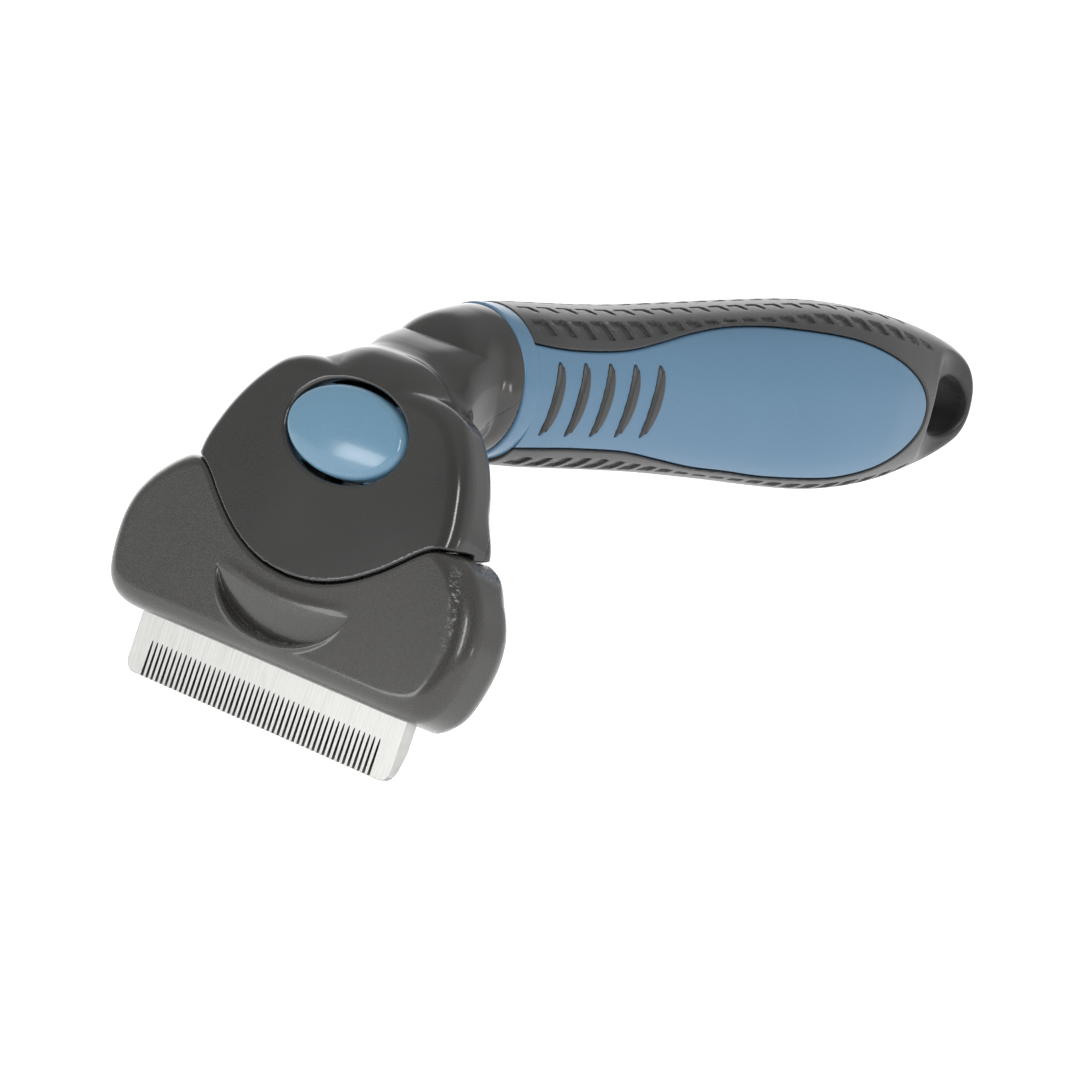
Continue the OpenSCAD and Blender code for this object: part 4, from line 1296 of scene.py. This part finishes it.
# ------------------------------------------------------------------ floor, light and camera, metres
def stage_floor():
    half, cells = 7.0, 28
    height = -0.032             # the released cartridge stays above it
    mesh = bpy.data.meshes.new("floor")
    ticks = np.linspace(-half, half, cells + 1)
    verts = [(float(x), float(y), height) for y in ticks for x in ticks]
    row = cells + 1
    corners = [j * row + i for j in range(cells) for i in range(cells)]
    mesh.from_pydata(verts, [], [(c, c + 1, c + row + 1, c + row) for c in corners])
    ob = link_new("floor", mesh)
    mat = Shader("floor_paper")
    fibre = mat.noise(scale=260.0, detail=4.0, rough=0.6)
    tint = mat.mix(mat.ramp(fibre, over=(0.3, 0.7)), (0.88, 0.88, 0.882), (0.90, 0.90, 0.90))
    mesh.materials.append(mat.finish(colour=tint, rough=0.95, spec=0.1,
                                     glow_colour=(1, 1, 1), glow=0.6))


stage_floor()
world = bpy.data.worlds.new("studio")
bpy.context.scene.world = world
world.use_nodes = True
sky_tree = world.node_tree
background = sky_tree.nodes["Background"]
background.inputs["Color"].default_value = (1, 1, 1, 1)
sky = sky_tree.nodes.new("ShaderNodeTexCoord").outputs["Generated"]


def sky_math(operation, level, other):
    node = sky_tree.nodes.new("ShaderNodeMath")
    node.operation = operation
    sky_tree.links.new(level, node.inputs[0])
    if isinstance(other, float):
        node.inputs[1].default_value = other
    else:
        sky_tree.links.new(other, node.inputs[1])
    return node.outputs[0]


def sky_lobe(direction, inner, outer, value):
    """value inside a cone about the direction, fading to nothing at its outer angle"""
    dot = sky_tree.nodes.new("ShaderNodeVectorMath")
    dot.operation = "DOT_PRODUCT"
    sky_tree.links.new(sky, dot.inputs[0])
    dot.inputs[1].default_value = tuple(Vector(direction).normalized())
    ramp = sky_tree.nodes.new("ShaderNodeMapRange")
    ramp.interpolation_type = "SMOOTHSTEP"
    sky_tree.links.new(dot.outputs["Value"], ramp.inputs["Value"])
    ramp.inputs["From Min"].default_value = math.cos(math.radians(outer))
    ramp.inputs["From Max"].default_value = math.cos(math.radians(inner))
    ramp.inputs["To Min"].default_value = 0.0
    ramp.inputs["To Max"].default_value = value
    return ramp.outputs["Result"]


SKY_BASE = 0.42
level = sky_lobe((-0.80, 0.59, 0.14), inner=14, outer=44, value=1.6)
for direction, inner, outer, value in (((0.68, 0.71, 0.10), 20, 60, 0.45),
                                       ((0.0, 0.0, 1.0), 5, 45, 0.2)):
    level = sky_math("ADD", level, sky_lobe(direction, inner, outer, value))
level = sky_math("ADD", level, SKY_BASE)
level = sky_math("SUBTRACT", level,
                 sky_lobe((0.45, -0.86, 0.25), inner=10, outer=55, value=0.12))
sky_tree.links.new(level, background.inputs["Strength"])

AIM = Vector((0.0, -0.02, 0.05))


def card(name, direction, distance, width, height, radiance, colour=(1, 1, 1)):
    """a soft box of the given brightness, seen from the tool in the given direction"""
    light = bpy.data.lights.new(name, "AREA")
    light.energy = radiance * math.pi * width * height
    light.color = colour
    light.size = width
    light.shape = "RECTANGLE"
    light.size_y = height
    ob = link_new(name, light)
    ob.location = Vector(direction).normalized() * distance + AIM
    ob.rotation_euler = (AIM - ob.location).to_track_quat("-Z", "Y").to_euler()


card("camera_strip", (0.565, -0.655, 0.50), distance=1.35, width=0.17, height=0.92, radiance=12.0)
card("front_low", (-0.535, -0.838, 0.075), distance=1.2, width=0.37, height=0.20, radiance=5.8)
card("right_strip", (0.985, 0.10, 0.07), distance=1.2, width=0.10, height=0.16, radiance=9.0,
     colour=(1.0, 0.95, 0.86))

# rows: the camera's right, up and backward directions in the tool frame
CAMERA_AXES = np.array([[0.68445594, 0.70250000, 0.19480000],
                        [-0.26615785, -0.00790000, 0.96390000],
                        [0.67873416, -0.71160000, 0.18150000]])
TOOL_FROM_CAMERA = np.array([-11.96, 27.32, -1012.05])     # tool origin along those axes, mm


def camera():
    lens = bpy.data.cameras.new("camera")
    lens.sensor_width = 36.0
    lens.sensor_fit = "HORIZONTAL"
    lens.lens = 197.936567
    lens.clip_start = 0.05
    lens.clip_end = 50.0
    ob = link_new("camera", lens)
    # the nearest true rotation to the measured axes
    left, _, right = np.linalg.svd(CAMERA_AXES)
    rotation = left @ right
    pose = np.eye(4)
    pose[:3, :3] = rotation.T
    pose[:3, 3] = to_scene(-rotation.T @ TOOL_FROM_CAMERA)
    ob.matrix_world = Matrix(pose.tolist())
    bpy.context.scene.camera = ob


camera()
bpy.context.scene.view_settings.view_transform = "Standard"
bpy.context.scene.view_settings.look = "None"
